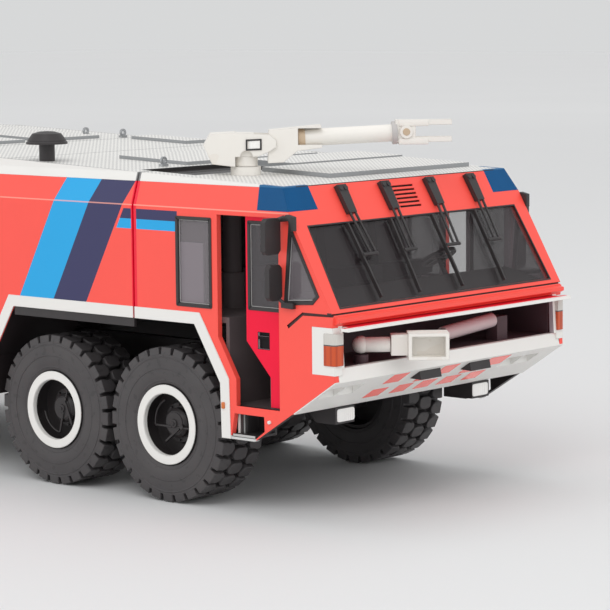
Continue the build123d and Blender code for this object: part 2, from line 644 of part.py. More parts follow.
def make_bumper():
    """White lower front turned under at the bottom, and the two headlamp blocks."""
    (x0, z0), (x1, z1) = bumper_line(0)
    face_x = RIDGE_X - 0.3
    plate = [(x1, z1), (face_x, BAY_BOTTOM_Z), (face_x - WALL, BAY_BOTTOM_Z),
             (x1 - WALL - 0.6, z1 + 1.0), (x0 - 0.4, z0 + WALL), (x0, z0)]
    half = HALF_W - WALL - FIT
    bumper = prism_y(plate, -half, half)
    skin = bumper_line(0) + list(reversed(bumper_line(BUMPER_SKIN)))
    bumper += prism_y(skin, -HALF_W, HALF_W)
    for y0, y1 in NOTCHES:
        bumper += prism_y([(NOTCH_X - 1.2, NOTCH_Z + 1.2), (NOTCH_X - 1.2, NOTCH_Z - 3),
                           (NOTCH_X + OVER, NOTCH_Z + 1.2)], y0 + 0.2, y1 - 0.2) & \
            prism_y(plate + [(x0, z1 + 2)], -half, half)
        bumper -= block(NOTCH_X, LIP_X, y0, y1, BUMPER_BOTTOM_Z, NOTCH_Z)
    for side_corner in both_sides(lamp_block_form()):
        bumper -= side_corner
    corner = lamp_block_form() & prism_y(cab_outline(0), -HALF_W, HALF_W)
    for lamp in make_headlamps():
        corner -= lamp
    return [bumper] + both_sides(corner)


def make_headlamps():
    """Lamps at the front corners, a little proud of their white blocks."""
    lamp = block(HEADLAMP_X, RIDGE_X, BAY_HALF_W + BAY_SIDE_T + 0.7, HALF_W + FIT,
                 HEADLAMP_Z0, HEADLAMP_Z1)
    return both_sides(lamp)


def make_fog_lamps():
    """Lamp housings under the bumper, each with a bracket and a recess for its lens."""
    lamp = block(FOG_X - FOG_DEPTH, FOG_X, FOG_Y0, FOG_Y1, FOG_Z0, FOG_Z1 - 0.8)
    lamp -= block(FOG_X - 0.6, FOG_X + 1, FOG_Y0 + FOG_FRAME, FOG_Y1 - FOG_FRAME,
                  FOG_Z0 + FOG_FRAME, FOG_Z1 - 0.8 - FOG_FRAME)
    lamp -= prism_y([(FOG_X - FOG_DEPTH - 1, FOG_Z0 - 1), (FOG_X - 7, FOG_Z0 - 1),
                     (FOG_X - FOG_DEPTH - 1, FOG_Z0 + 3)], 0, HALF_W)
    middle = (FOG_Y0 + FOG_Y1) / 2
    top = BUMPER_BOTTOM_Z + WALL + 0.6
    return both_sides(lamp + block(FOG_X - 2.6, FOG_X - 0.8, middle - 2.5, middle + 2.5,
                                   FOG_Z0 + 4, top))


def make_front_flap():
    """Flap that stands open over the bay, wider where it is in front of the lip."""
    half = BAY_HALF_W - 0.2
    wide = LIP_HALF_W - 0.4
    flap = block(FLAP_REAR_X, FLAP_FRONT_X, -half, half, FLAP_Z, FLAP_Z + FLAP_T)
    return flap + block(LIP_X + 0.3, FLAP_FRONT_X, -wide, wide, FLAP_Z, FLAP_Z + FLAP_T)


def make_wipers():
    """Capped pivots, each with two parallel rods, a crosspiece and a blade."""
    wipers = []
    cap_run = (WIPER_PIVOT_Z - WIPER_CAP_Z) / FRONT_NORMAL.X
    for pivot_y, end_y, blade_y0, blade_y1 in WIPERS:
        cap = make_face(Polyline((-2.3, 0.8), (2.3, 0.8), (1.9, -cap_run), (-1.9, -cap_run),
                                 close=True))
        place = front_plane(pivot_y, WIPER_PIVOT_Z)
        wiper = place * Pos(0, 0, 0.2) * extrude(cap, amount=1.7)
        for side in (-1, 1):
            wiper += place * Pos(side * 1.2, -0.6, 1.4) * Cylinder(0.9, 1.8)
            wiper += rod(front_point(pivot_y + side * WIPER_ROD_Y, WIPER_CAP_Z + 1, WIPER_OUT),
                         front_point(end_y + side * WIPER_ROD_Y, WIPER_END_Z, WIPER_OUT),
                         WIPER_ROD_R)
        share = (BLADE_TOP_Z - WIPER_END_Z) / (BLADE_TOP_Z - BLADE_BOTTOM_Z)
        joint_y = blade_y0 + share * (blade_y1 - blade_y0)
        wiper += rod(front_point(joint_y, WIPER_END_Z, WIPER_OUT),
                     front_point(end_y + WIPER_ROD_Y + 0.6, WIPER_END_Z, WIPER_OUT), 0.6)
        blade = [front_point(blade_y0, BLADE_TOP_Z, 0.3), front_point(blade_y0, BLADE_TOP_Z, 1.6),
                 front_point(blade_y1, BLADE_BOTTOM_Z, 1.6),
                 front_point(blade_y1, BLADE_BOTTOM_Z, 0.3)]
        fin = make_face(Polyline(*blade, close=True))
        wiper += Pos(0, -BLADE_T / 2, 0) * extrude(fin, amount=BLADE_T, dir=(0, 1, 0))
        wipers.append(wiper)
    return wipers


def make_mirrors():
    """Two mirror heads on a side, each on an arm from the front pillar."""
    solids = []
    for (inner, outer, z0, z1), (foot_x, foot_z) in zip(MIRRORS, (MIRROR_TOP, MIRROR_FOOT)):
        y0, y1 = HALF_W + inner, HALF_W + outer
        c = MIRROR_CORNER
        outline = [(y0, z0 + c), (y0 + c, z0), (y1 - c, z0), (y1, z0 + c),
                   (y1, z1 - c), (y1 - c, z1), (y0 + c, z1), (y0, z1 - c)]
        head = prism_x(outline, MIRROR_X, MIRROR_X + MIRROR_T)
        head -= block(MIRROR_X - 1, MIRROR_X + 0.3, y0 + c, y1 - c, z0 + c, z1 - c)
        inner_z = min(max(foot_z, z0 + 0.8), z1 - 0.8)
        arm = rod((foot_x, HALF_W + BRACKET_R, foot_z),
                  (MIRROR_X + 1, y0 + 1.2, inner_z), BRACKET_R)
        solids += both_sides(head + arm)
    return solids


def make_steps():
    """Plate in the low step opening, with an upright that hangs from the step well."""
    x0, x1 = STEP_HOLE[4][0] + 0.3, STEP_HOLE[3][0] - 0.3
    low = STEP_HOLE[4][1] + FIT
    top = DOOR_SILL_Z - 2.2
    back = HALF_W - STEP_PLATE_W
    plate = block(x0, x1, back, HALF_W - 0.3, low, low + STEP_PLATE_T)
    plate += block(x0, x1, back - 1, back, low, top)
    return both_sides(plate + block(x0 + 1.8, x0 + 2.8, back, HALF_W - WALL - 0.4, low, top))


def make_seats():
    seats = []
    z0 = FLOOR_Z
    half = SEAT_W / 2
    for back_x, y in SEATS:
        front = back_x + SEAT_D
        foot = front - SEAT_FOOT
        profile = [(back_x - 3, z0 + SEAT_BACK_H), (back_x, z0 + SEAT_BACK_H),
                   (back_x + 2.5, z0 + SEAT_TOP - 1), (front, z0 + SEAT_TOP),
                   (front, z0 + SEAT_LOW), (foot, z0 + SEAT_LOW - 1), (foot, z0), (back_x, z0),
                   (back_x, z0 + SEAT_LOW - 1), (back_x - 1.5, z0 + SEAT_LOW)]
        seats.append(prism_y(profile, y - half, y + half))
    return seats


def make_dashboard():
    top = FLOOR_Z + DASH_H
    low = BAY_TOP_Z + WALL
    outline = [(DASH_X, low), (DASH_X, top), (DASH_X + 2.5, top + 0.4),
               (front_x(top) - WALL - 0.3, top - 3.0), (front_x(low + 1.0) - WALL - 1.0, low)]
    half = HALF_W - WALL - DOOR_T - 2.0
    return prism_y(outline, -half, half)


def make_steering_wheel():
    """Flat rim with two spokes on a leaning column, in front of the driver on the left."""
    lean = math.radians(WHEEL_LEAN)
    axis = Vector(-math.sin(lean), 0, math.cos(lean))
    middle = Vector(*WHEEL_MIDDLE)
    rim = Cylinder(WHEEL_R, WHEEL_RIM) - Cylinder(WHEEL_R - WHEEL_RIM, 2 * WHEEL_RIM)
    reach = 2 * WHEEL_R - WHEEL_RIM
    wheel = rim + Box(reach, WHEEL_RIM, WHEEL_RIM * 0.7) + Box(WHEEL_RIM, reach, WHEEL_RIM * 0.7)
    wheel += Cylinder(WHEEL_RIM * 1.4, WHEEL_RIM)
    foot = middle - axis * COLUMN_LENGTH
    column = rod(tuple(middle), tuple(foot), WHEEL_RIM * 0.75) - make_dashboard()
    return Plane(origin=middle, z_dir=axis) * wheel + column


def make_foam_pipe():
    """Pale pipe that crosses the monitor bay, open at its right end."""
    start, end = (PIPE_X, PIPE_Y[0], PIPE_Z[0]), (PIPE_X, PIPE_Y[1], PIPE_Z[1])
    share = 0.15
    inner = (PIPE_X, PIPE_Y[0] + share * (PIPE_Y[1] - PIPE_Y[0]),
             PIPE_Z[0] + share * (PIPE_Z[1] - PIPE_Z[0]))
    before = (PIPE_X, 2 * start[1] - inner[1], 2 * start[2] - inner[2])
    return rod(start, end, PIPE_R) - rod(before, inner, PIPE_R - PIPE_WALL)


# Wheels, axles and chassis

def make_chassis_rails():
    """Two channel sections, open towards the middle."""
    inner, outer = RAIL_Y - RAIL_T / 2, RAIL_Y + RAIL_T / 2
    rail = block(RAIL_REAR_X, RAIL_FRONT_X, inner, outer, RAIL_Z0, RAIL_Z1)
    rail -= block(RAIL_REAR_X - 1, RAIL_FRONT_X + 1, inner - 1, inner + RAIL_T / 2,
                  RAIL_Z0 + RAIL_LIP, RAIL_Z1 - RAIL_LIP)
    return both_sides(rail)


def make_cross_members():
    """Beams between the rails, pads that carry cab and body, and the towing points."""
    reach = RAIL_Y - RAIL_T / 2
    outer = RAIL_Y + RAIL_T / 2
    low, high = RAIL_Z0 + 2, RAIL_Z1 - 2
    members = [block(x - MEMBER_HALF, x + MEMBER_HALF, -reach, reach, low, high)
               for x in CROSS_MEMBERS]
    for x, top in BODY_MOUNTS:
        members += both_sides(block(x - 3, x + 3, reach, outer, RAIL_Z1, top))
    last = block(RAIL_REAR_X + 2, RAIL_REAR_X + 6, -reach, reach, low, high)
    eye = block(TOW_X - 4, RAIL_REAR_X + 4, -TOW_HALF_W, TOW_HALF_W, low, low + TOW_T)
    members.append(last + eye - Pos(TOW_X, 0, RAIL_Z0) * Cylinder(TOW_BORE_R, 20))
    nose_x, nose_z = LUG_NOSE
    slope = (BREAK_X - BUMPER_BOTTOM_X) / (BREAK_Z - BUMPER_BOTTOM_Z)
    low_z, high_z = nose_z + 0.2, BREAK_Z - 0.9
    lug = [(BUMPER_BOTTOM_X + slope * (z - BUMPER_BOTTOM_Z) + 0.05, z) for z in (low_z, high_z)]
    return members + [prism_y(lug + [(nose_x, nose_z)], y, y + LUG_W) for y in TOW_LUGS]


def make_axle(x, steered):
    """Beam with its differential case, spring seats and, if steered, kingpin forks."""
    end_y = KINGPIN_Y - KNUCKLE_SIZE / 2 - 1.2 if steered else WHEEL_Y - 3.0
    axle = rod((x, -end_y, TYRE_R), (x, end_y, TYRE_R), AXLE_BEAM_R)
    case = turned([(0, -DIFF_CONE_W), (AXLE_BEAM_R + 0.5, -DIFF_CONE_W), (DIFF_R, -DIFF_HALF_W),
                   (DIFF_R, DIFF_HALF_W), (AXLE_BEAM_R + 0.5, DIFF_CONE_W), (0, DIFF_CONE_W)])
    axle += Pos(x, 0, TYRE_R) * Rot(90, 0, 0) * case
    for sign in (-1, 1):
        y = sign * RAIL_Y
        axle += block(x - 4, x + 4, y - 3, y + 3, TYRE_R, RAIL_Z0)
        if not steered:
            axle += rod((x, y, TYRE_R), (x, sign * (WHEEL_Y + SPINDLE_END), TYRE_R), SPINDLE_R)
            continue
        ear = KNUCKLE_SIZE / 2 + YOKE_GAP
        pin_y = sign * KINGPIN_Y
        yoke_y = sign * (end_y - 1.0)
        axle += block(x - YOKE_HALF, x + YOKE_HALF, yoke_y, sign * (end_y + 0.9),
                      TYRE_R - ear - YOKE_T, TYRE_R + ear + YOKE_T)
        for z0 in (TYRE_R - ear - YOKE_T, TYRE_R + ear):
            axle += block(x - YOKE_HALF, x + YOKE_HALF, yoke_y, pin_y, z0, z0 + YOKE_T)
            axle += Pos(x, pin_y, z0 + YOKE_T / 2) * Cylinder(YOKE_HALF, YOKE_T)
        axle -= Pos(x, pin_y, TYRE_R) * Cylinder(KINGPIN_R + HUB_BORE_CLEARANCE, 4 * KNUCKLE_SIZE)
    return axle


def make_knuckle(x, sign):
    """Steering knuckle with its kingpin and the spindle that carries the wheel."""
    y = sign * KINGPIN_Y
    pin = KNUCKLE_SIZE + 2 * (YOKE_GAP + YOKE_T)
    knuckle = Pos(x, y, TYRE_R) * Cylinder(KNUCKLE_SIZE / 2, KNUCKLE_SIZE)
    knuckle += Pos(x, y, TYRE_R) * Cylinder(KINGPIN_R, pin)
    return knuckle + rod((x, y, TYRE_R), (x, sign * (WHEEL_Y + SPINDLE_END), TYRE_R), SPINDLE_R)


def wheel_place(x, sign):
    """Frame at the middle of a wheel whose z axis points away from the truck."""
    return Plane(origin=(x, sign * WHEEL_Y, TYRE_R), x_dir=(1, 0, 0), z_dir=(0, sign, 0))


def polygon(radius, count, z):
    """Face with flat sides at the given radius."""
    corner = radius / math.cos(math.pi / count)
    turns = [math.tau * n / count for n in range(count)]
    return make_face(Polyline(*[(corner * math.cos(a), corner * math.sin(a), z) for a in turns],
                              close=True))


def lug_outline(shift, z):
    """Outer edge of one half of the tread: flat lugs with a groove between them."""
    pitch = math.tau / LUGS
    half = pitch * LUG_SHARE / 2
    lowest = min(half, pitch / 2 - half)
    outer = TYRE_R / math.cos(lowest)
    points = []
    for n in range(LUGS):
        middle = -math.pi / 2 + (n + shift) * pitch
        for angle, radius in ((middle - half, outer), (middle + half, outer),
                              (middle + pitch / 2, TYRE_R - LUG_DEPTH)):
            points.append((radius * math.cos(angle), radius * math.sin(angle), z))
    return make_face(Polyline(*points, close=True))


def make_tyre():
    """Two staggered rings of lugs with bulged side walls, all flat facets."""
    half = TYRE_W / 2
    lug_half = half - LUG_INSET
    spread = math.degrees(math.atan((TYRE_SHOULDER_R - TYRE_WALL_R) / LUG_INSET))
    tyre = extrude(lug_outline(0, -lug_half), amount=lug_half)
    tyre += extrude(lug_outline(0.5, 0), amount=lug_half)
    wall = extrude(polygon(TYRE_SHOULDER_R, LUGS, lug_half), amount=LUG_INSET, taper=spread)
    tyre += wall
    tyre += mirror(wall, about=Plane.XY)
    return tyre - extrude(polygon(TYRE_BORE_R, LUGS, -half - 1), amount=TYRE_W + 2)


def make_rim():
    """Barrel, outer flange, deep dish and hub; the hub bore is open to the inside."""
    half = TYRE_W / 2
    outer = TYRE_BORE_R - RIM_GAP
    inner = outer - RIM_BARREL_WALL
    ring = half - RIM_INSET
    hub_top = half - HUB_INSET
    bore = SPINDLE_R + HUB_BORE_CLEARANCE
    spindle_top = SPINDLE_END + 0.5
    disc = HUB_DISC / 4
    return turned([
        (outer, -half + BEAD_INSET), (outer, ring), (RIM_RING_R, ring),
        (RIM_RING_R, ring - RIM_FLANGE), (inner, ring - RIM_FLANGE), (inner, HUB_DISC - disc),
        (HUB_R + 2.6, HUB_DISC / 2), (HUB_R + 2.0, HUB_DISC), (HUB_R, HUB_DISC),
        (HUB_R, hub_top - 1), (HUB_R - 1, hub_top), (0, hub_top), (0, spindle_top),
        (bore, spindle_top), (bore, -HUB_DISC / 2), (inner, -disc), (inner, -half + BEAD_INSET)])


# Body behind the cab

def body_outline(top):
    """Side outline of the body, closed along a straight top."""
    first, second, third, fourth = AXLE_X
    return [(BODY_FRONT_X, SILL_Z)] + arch_half(second, -1, LOCKER_Z, 0) + \
        list(reversed(arch_half(third, 1, LOCKER_Z, 0))) + arch_half(fourth, -1, REAR_LOW_Z, 0) + [
        (fourth - 50.0, REAR_LOW_Z), (REAR_X + 2, 52.0), (REAR_X, 60.0),
        (REAR_X, top - 8.0), (REAR_X + REAR_LIP, top), (BODY_FRONT_X, top)]


def make_body_shell():
    outer = prism_y(body_outline(COLOUR_Z), -HALF_W, HALF_W)
    outer &= prism_x(side_section(0, 0, CUT_Z), REAR_X - OVER, BODY_FRONT_X)
    outer -= block(REAR_X + 12, BODY_FRONT_X + OVER, -TUNNEL_HALF_W, TUNNEL_HALF_W, 0, TUNNEL_Z)
    cavity = prism_x(side_section(WALL, SILL_Z + WALL, CUT_Z), REAR_X + REAR_LIP + WALL,
                     BODY_FRONT_X + OVER)
    shell = outer - cavity
    engine_half = ENGINE[2] + 1.0
    shell -= block(ENGINE[0] - 1, ENGINE[1] + 1, -engine_half, engine_half, RAIL_Z1, SILL_Z + OVER)
    for x0, x1 in LOCKERS:
        recess = block(x0, x1, HALF_W - LOCKER_DEPTH, HALF_W + 1, LOCKER_Z0, LOCKER_Z1)
        for opening in both_sides(recess):
            shell -= opening
    return shell - block(REAR_X - 1, REAR_X + GRILLE_T, -GRILLE_HALF_W, GRILLE_HALF_W,
                         GRILLE_Z0, GRILLE_Z1)


def make_shutters():
    """Roller shutters: a sheet of slats, each with a rounded hump."""
    shutters = []
    pitch = (LOCKER_Z1 - LOCKER_Z0) / SLATS
    base = HALF_W - LOCKER_DEPTH
    outline = [(base, LOCKER_Z0)]
    for n in range(SLATS):
        z = LOCKER_Z0 + n * pitch
        outline += [(base + 0.3, z), (base + 0.8, z + pitch * 0.3),
                    (base + 0.8, z + pitch * 0.7), (base + 0.3, z + pitch * 0.95)]
    outline += [(base, LOCKER_Z1)]
    for x0, x1 in LOCKERS:
        shutters += both_sides(prism_x(outline, x0, x1))
    return shutters


def make_rear_grille():
    x = REAR_X + GRILLE_T
    half = GRILLE_HALF_W
    grille = block(x - GRILLE_T, x, -half, half, GRILLE_Z0, GRILLE_Z1)
    pitch = (GRILLE_Z1 - GRILLE_Z0 - 4) / GRILLE_BARS
    for n in range(GRILLE_BARS):
        z = GRILLE_Z0 + 2.5 + n * pitch
        grille -= block(x - 2, x - 0.5, -half + 3, half - 3, z, z + pitch - 1.2)
    return grille


def make_roof_deck():
    """Hollow deck of the body, with the joints between its walkway panels."""
    level = roof_z(ROOF_FLAT_X)
    top = [(BODY_FRONT_X, roof_z(BODY_FRONT_X)), (ROOF_FLAT_X, level),
           (REAR_X + REAR_LIP + 5, level), (REAR_X + REAR_LIP, COLOUR_Z)]
    deck = prism_y([(BODY_FRONT_X, COLOUR_Z)] + top, -HALF_W, HALF_W)
    deck &= prism_x(side_section(0, 0, CUT_Z), REAR_X, BODY_FRONT_X)
    under = [(BODY_FRONT_X + 1, COLOUR_Z - 1), (BODY_FRONT_X + 1, roof_z(BODY_FRONT_X) - WALL),
             (ROOF_FLAT_X, level - WALL), (REAR_X + REAR_LIP + 6, level - WALL),
             (REAR_X + REAR_LIP + 3, COLOUR_Z - 1)]
    inside = ROOF_HALF_W - WALL
    deck -= prism_y(under, -inside, inside)
    front, rear = ROOF_SLOT[0], REAR_X + 12
    for side in (-1, 1):
        for x0, x1 in ((ROOF_FLAT_X, front), (rear, ROOF_FLAT_X)):
            deck -= deck_joint(x0, x1, side * DECK_EDGE_Y - DECK_JOINT / 2,
                               side * DECK_EDGE_Y + DECK_JOINT / 2)
    for x in DECK_JOINTS:
        deck -= deck_joint(x, x + DECK_JOINT, -DECK_EDGE_Y, DECK_EDGE_Y)
    return deck - roof_slot()


def deck_joint(x0, x1, y0, y1):
    """Shallow groove in the sloping roof."""
    return prism_y([(x0, roof_z(x0) - DECK_JOINT), (x1, roof_z(x1) - DECK_JOINT),
                    (x1, roof_z(x1) + 1), (x0, roof_z(x0) + 1)], y0, y1)


def make_vent():
    """Mushroom vent: a stem under a low dome with a rim."""
    rim_r = VENT_R - 0.5
    rim_z = VENT_STEM_H + 1.4
    top = VENT_STEM_H + VENT_DOME_H
    outline = [(0, -1), (VENT_STEM_R, -1), (VENT_STEM_R, VENT_STEM_H), (VENT_R, VENT_STEM_H),
               (VENT_R, VENT_STEM_H + 0.7), (rim_r, rim_z - 0.4), (rim_r, rim_z),
               (rim_r * 0.75, top - 0.9), (rim_r * 0.4, top - 0.2), (0, top)]
    return Pos(VENT_X, VENT_Y, roof_z(VENT_X)) * turned(outline) - below_roof()


def make_lifting_ring(x, y):
    """Flat ring on a small foot."""
    base = roof_z(x)
    ring = Cylinder(RING_R, RING_T) - Cylinder(RING_HOLE_R, 2 * RING_T)
    ring = Plane(origin=(x, y, base + RING_R + 0.5), z_dir=(1, 0, 0)) * ring
    foot = Pos(x, y, base) * Box(RING_T + 1, RING_R * 2, 1.8) - below_roof()
    return ring + foot


def make_arch_trims():
    """White bands around the wheels, and along the sill of cab and body."""
    first, second, third, fourth = AXLE_X
    edges = [
        lambda extra: [(SEAM_X, SILL_Z + extra)] + arch_half(first, 1, STEP_Z, extra),
        lambda extra: [(BODY_FRONT_X, SILL_Z + extra)] + arch_half(second, -1, LOCKER_Z, extra),
        lambda extra: list(reversed(arch_half(third, 1, LOCKER_Z, extra))) +
        arch_half(fourth, -1, REAR_LOW_Z, extra)]
    trims = []
    for edge in edges:
        trims += both_sides(prism_y(edge(ARCH_TRIM) + list(reversed(edge(0))),
                                    HALF_W, HALF_W + TRIM_T))
    return trims


def make_arch_liners():
    """Black strips that hang below the sill over each pair of wheels."""
    strips = []
    y = HALF_W - TRIM_T
    for x0, x1 in ((AXLE_X[1] - ARCH_TOP_X, BODY_FRONT_X),
                   (AXLE_X[3] - ARCH_TOP_X, AXLE_X[2] + ARCH_TOP_X)):
        strips += both_sides(block(x0, x1, y - SKIRT_T, y, SKIRT_Z, SILL_Z))
    return strips


def make_rear_lamps():
    lamps = []
    y1 = HALF_W - 4.0
    for z0, z1 in REAR_LAMPS:
        lamps += both_sides(block(REAR_X - 1.0, REAR_X, y1 - REAR_LAMP_W, y1, z0, z1))
    return lamps


def make_ladder():
    """Crew ladder on the rear face, right side."""
    x = REAR_X - LADDER_OFF
    y0, y1 = LADDER_Y
    z0, z1 = LADDER_Z
    ladder = rod((x, y0, z0), (x, y0, z1), LADDER_R) + rod((x, y1, z0), (x, y1, z1), LADDER_R)
    pitch = (z1 - z0 - 8) / (LADDER_RUNGS - 1)
    for n in range(LADDER_RUNGS):
        z = z0 + 4 + n * pitch
        ladder += rod((x, y0, z), (x, y1, z), LADDER_R * 0.7)
    for y in (y0, y1):
        for z in LADDER_STAY_Z:
            ladder += rod((x, y, z), (REAR_X - FIT, y, z), LADDER_R * 0.7)
    return ladder


# Roof monitor

def in_monitor(piece):
    """Puts a piece made with s along x, at its height over the roof, in its place."""
    return Pos(MONITOR_X, MONITOR_Y, roof_z(MONITOR_X)) * Rot(0, 0, MONITOR_YAW) * piece


def make_monitor_base():
    foot = Cylinder(MONITOR_FOOT_R, 2 * MONITOR_FOOT_H)
    return in_monitor(foot) - below_roof()


def make_monitor_turret():
    """Leg, counterweight and the two cheeks that hold the trunnion pin."""
    bottom = MONITOR_FOOT_H + 0.3
    top = CHEEK[0][1]
    inner = TRUNNION_HALF_W + CHEEK_GAP
    outer = inner + CHEEK_T
    turret = Pos(0, 0, (bottom + top + 1) / 2) * Cylinder(MONITOR_LEG_R, top + 1 - bottom)
    turret += prism_y(COUNTERWEIGHT, -outer, outer)
    turret += prism_y([(-4.0, top), (2.8, top), (2.8, 14.2), (-4.0, 14.4)], -outer, outer)
    for side in (-1, 1):
        turret += prism_y(CHEEK, min(side * inner, side * outer), max(side * inner, side * outer))
    notch = Rot(90, 0, 0) * Cylinder(NOTCH_R, 3)
    turret -= Pos(0.2, -outer, top) * notch
    pin = Rot(90, 0, 0) * Cylinder(TRUNNION_PIN_R, 2 * inner + CHEEK_T)
    return in_monitor(turret + Pos(TRUNNION_S, 0, TRUNNION_H) * pin)


def make_monitor_barrel():
    """Cradle that is open on one side, tube, collar and a fork at the end."""
    half = TRUNNION_HALF_W
    s0, s1 = TUBE_S
    h0, h1 = TUBE_H
    barrel = prism_y(CRADLE, -half, half)
    barrel -= block(CRADLE_SLOT_S, CRADLE[3][0] + 1, -half - 1, half - CRADLE_TOP,
                    CRADLE[3][1] + CRADLE_TOP, CRADLE[4][1] - CRADLE_TOP)
    barrel += rod((s0, 0, h0), (s1, 0, h1), TUBE_R)
    rise = (h1 - h0) / (s1 - s0)
    barrel += rod((s1 - 0.2, 0, h1), (s1 + COLLAR_T, 0, h1 + COLLAR_T * rise), COLLAR_R)
    neck, tines, tip = FORK_S
    barrel += block(neck - 0.5, tines, -TINE_W / 2 - 0.2, TINE_W / 2 + 0.2,
                    FORK_H - FORK_HALF_H, FORK_H + FORK_HALF_H)
    for z0 in (FORK_H - FORK_HALF_H, FORK_H + FORK_HALF_H - TINE_T):
        barrel += block(tines - 1, tip, -TINE_W / 2, TINE_W / 2, z0, z0 + TINE_T)
    across = Rot(90, 0, 0)
    barrel -= Pos((neck + tines) / 2 - 1, 0, FORK_H) * across * Cylinder(FORK_HOLE_R, 20)
    hole = across * Cylinder(TRUNNION_PIN_R + HUB_BORE_CLEARANCE, 20)
    return in_monitor(barrel - Pos(TRUNNION_S, 0, TRUNNION_H) * hole)


# Bumper monitor

def in_bumper_monitor(piece):
    """Puts a piece made with its arm along y and its mouth along x in its place."""
    return Pos(BM_X, BM_Y, BM_Z) * Rot(0, 0, BM_YAW) * piece


def make_bumper_monitor_arm():
    arm = Rot(90, 0, 0) * Sphere(BM_BALL_R)
    return in_bumper_monitor(arm + rod((0, 1.6, 0), (0, BM_ARM_END, 0), BM_ARM_R))


def make_bumper_monitor_nozzle():
    """Head that turns on the arm, and a wide nozzle with a rectangular mouth."""
    along, length, depth, height = BM_HEAD
    nozzle = Pos(0, along, 0) * Box(depth, length, height)
    along, length, depth, height = BM_NOZZLE
    front = BM_NOZZLE_OUT + depth / 2
    nozzle += Pos(BM_NOZZLE_OUT, along, -0.2) * Box(depth, length, height)
    nozzle -= Pos(front, along, -0.2) * Box(2 * BM_MOUTH_DEPTH, BM_MOUTH_W, BM_MOUTH_H)
    return in_bumper_monitor(nozzle)


add("cab_shell", make_cab_shell())
add("cab_roof", make_cab_roof())
add("cab_tub", make_cab_tub())
add("monitor_bay", make_monitor_bay())
add("windshield", make_windshield())
add("side_glass", make_side_glass())
add("doors", make_doors())
add("beacons", beacon_solids())
add("front_bumper", make_bumper())
add("seats", make_seats())
add("dashboard", make_dashboard())
add("steering_wheel", make_steering_wheel())
add("foam_pipe", make_foam_pipe())
add("rear_lamps", make_rear_lamps())
add("rear_ladder", make_ladder())
add("chassis_rails", make_chassis_rails())
add("chassis_cross_members", make_cross_members())
add("engine_block", block(ENGINE[0], ENGINE[1], -ENGINE[2], ENGINE[2], ENGINE[3], ENGINE[4]))
add("steering_axles", [make_axle(x, True) for x in AXLE_X[:2]])
add("rear_axles", [make_axle(x, False) for x in AXLE_X[2:]])
tyre, rim = make_tyre(), make_rim()
for n, x in enumerate(AXLE_X):
    for side, sign in SIDES:
        place = wheel_place(x, sign)
        add(f"tyre_{n + 1}_{side}", place * tyre)
        add(f"rim_{n + 1}_{side}", place * rim)
        if n < 2:
            add(f"knuckle_{n + 1}_{side}", make_knuckle(x, sign))
add("body_shell", make_body_shell())
add("roller_shutters", make_shutters())
add("rear_grille", make_rear_grille())
add("roof_deck", make_roof_deck())
add("roof_hatches", [roof_plate(*plate) for plate in HATCHES])
add("roof_vent", make_vent())
add("lifting_rings", [make_lifting_ring(x, sign * (HALF_W - off)) for x, sign, off in RINGS])
add("roof_monitor_base", make_monitor_base())
add("roof_monitor_turret", make_monitor_turret())
add("roof_monitor_barrel", make_monitor_barrel())
add("bumper_monitor_arm", make_bumper_monitor_arm())
add("bumper_monitor_nozzle", make_bumper_monitor_nozzle())
add("front_flap", make_front_flap())
add("wipers", make_wipers())
add("mirrors", make_mirrors())
add("headlamps", make_headlamps())
add("fog_lamps", make_fog_lamps())
add("arch_trims", make_arch_trims())
add("arch_liners", make_arch_liners())
add("cab_steps", make_steps())

# Where the box of the whole model is centred along the truck
boxes = [piece.bounding_box() for pieces in nodes.values() for piece in pieces]
X_MID = (min(b.min.X for b in boxes) + max(b.max.X for b in boxes)) / 2

os.makedirs("parts", exist_ok=True)
for name, pieces in nodes.items():
    solids = [s for piece in pieces for s in piece.solids()]
    moved = [Pos(-X_MID, 0, 0) * s for s in solids]
    export_step(Compound(children=moved), f"parts/{name}.step")
print("middle of the box along the truck", round(X_MID, 3))
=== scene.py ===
import json
import math

import bmesh
import bpy
from mathutils import Matrix, Vector


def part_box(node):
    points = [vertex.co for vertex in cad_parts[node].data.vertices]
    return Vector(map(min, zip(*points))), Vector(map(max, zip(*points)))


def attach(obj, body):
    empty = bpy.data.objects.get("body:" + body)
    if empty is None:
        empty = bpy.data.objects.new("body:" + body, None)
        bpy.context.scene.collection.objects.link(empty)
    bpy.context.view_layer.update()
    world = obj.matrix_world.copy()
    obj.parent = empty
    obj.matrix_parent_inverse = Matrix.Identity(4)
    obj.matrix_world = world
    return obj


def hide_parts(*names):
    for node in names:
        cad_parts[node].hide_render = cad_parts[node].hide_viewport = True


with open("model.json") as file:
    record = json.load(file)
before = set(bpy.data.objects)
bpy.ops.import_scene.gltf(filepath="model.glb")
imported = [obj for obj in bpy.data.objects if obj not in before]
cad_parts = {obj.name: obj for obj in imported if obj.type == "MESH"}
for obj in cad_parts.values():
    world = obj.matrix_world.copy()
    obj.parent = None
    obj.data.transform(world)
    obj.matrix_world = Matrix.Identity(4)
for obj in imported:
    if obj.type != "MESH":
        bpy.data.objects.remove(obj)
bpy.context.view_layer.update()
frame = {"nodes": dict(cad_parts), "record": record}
NODES = frame["nodes"]
MM = 0.001
AXLE_X = sum(corner.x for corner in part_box("tyre_1_right")) / 2      # first axle, in metres

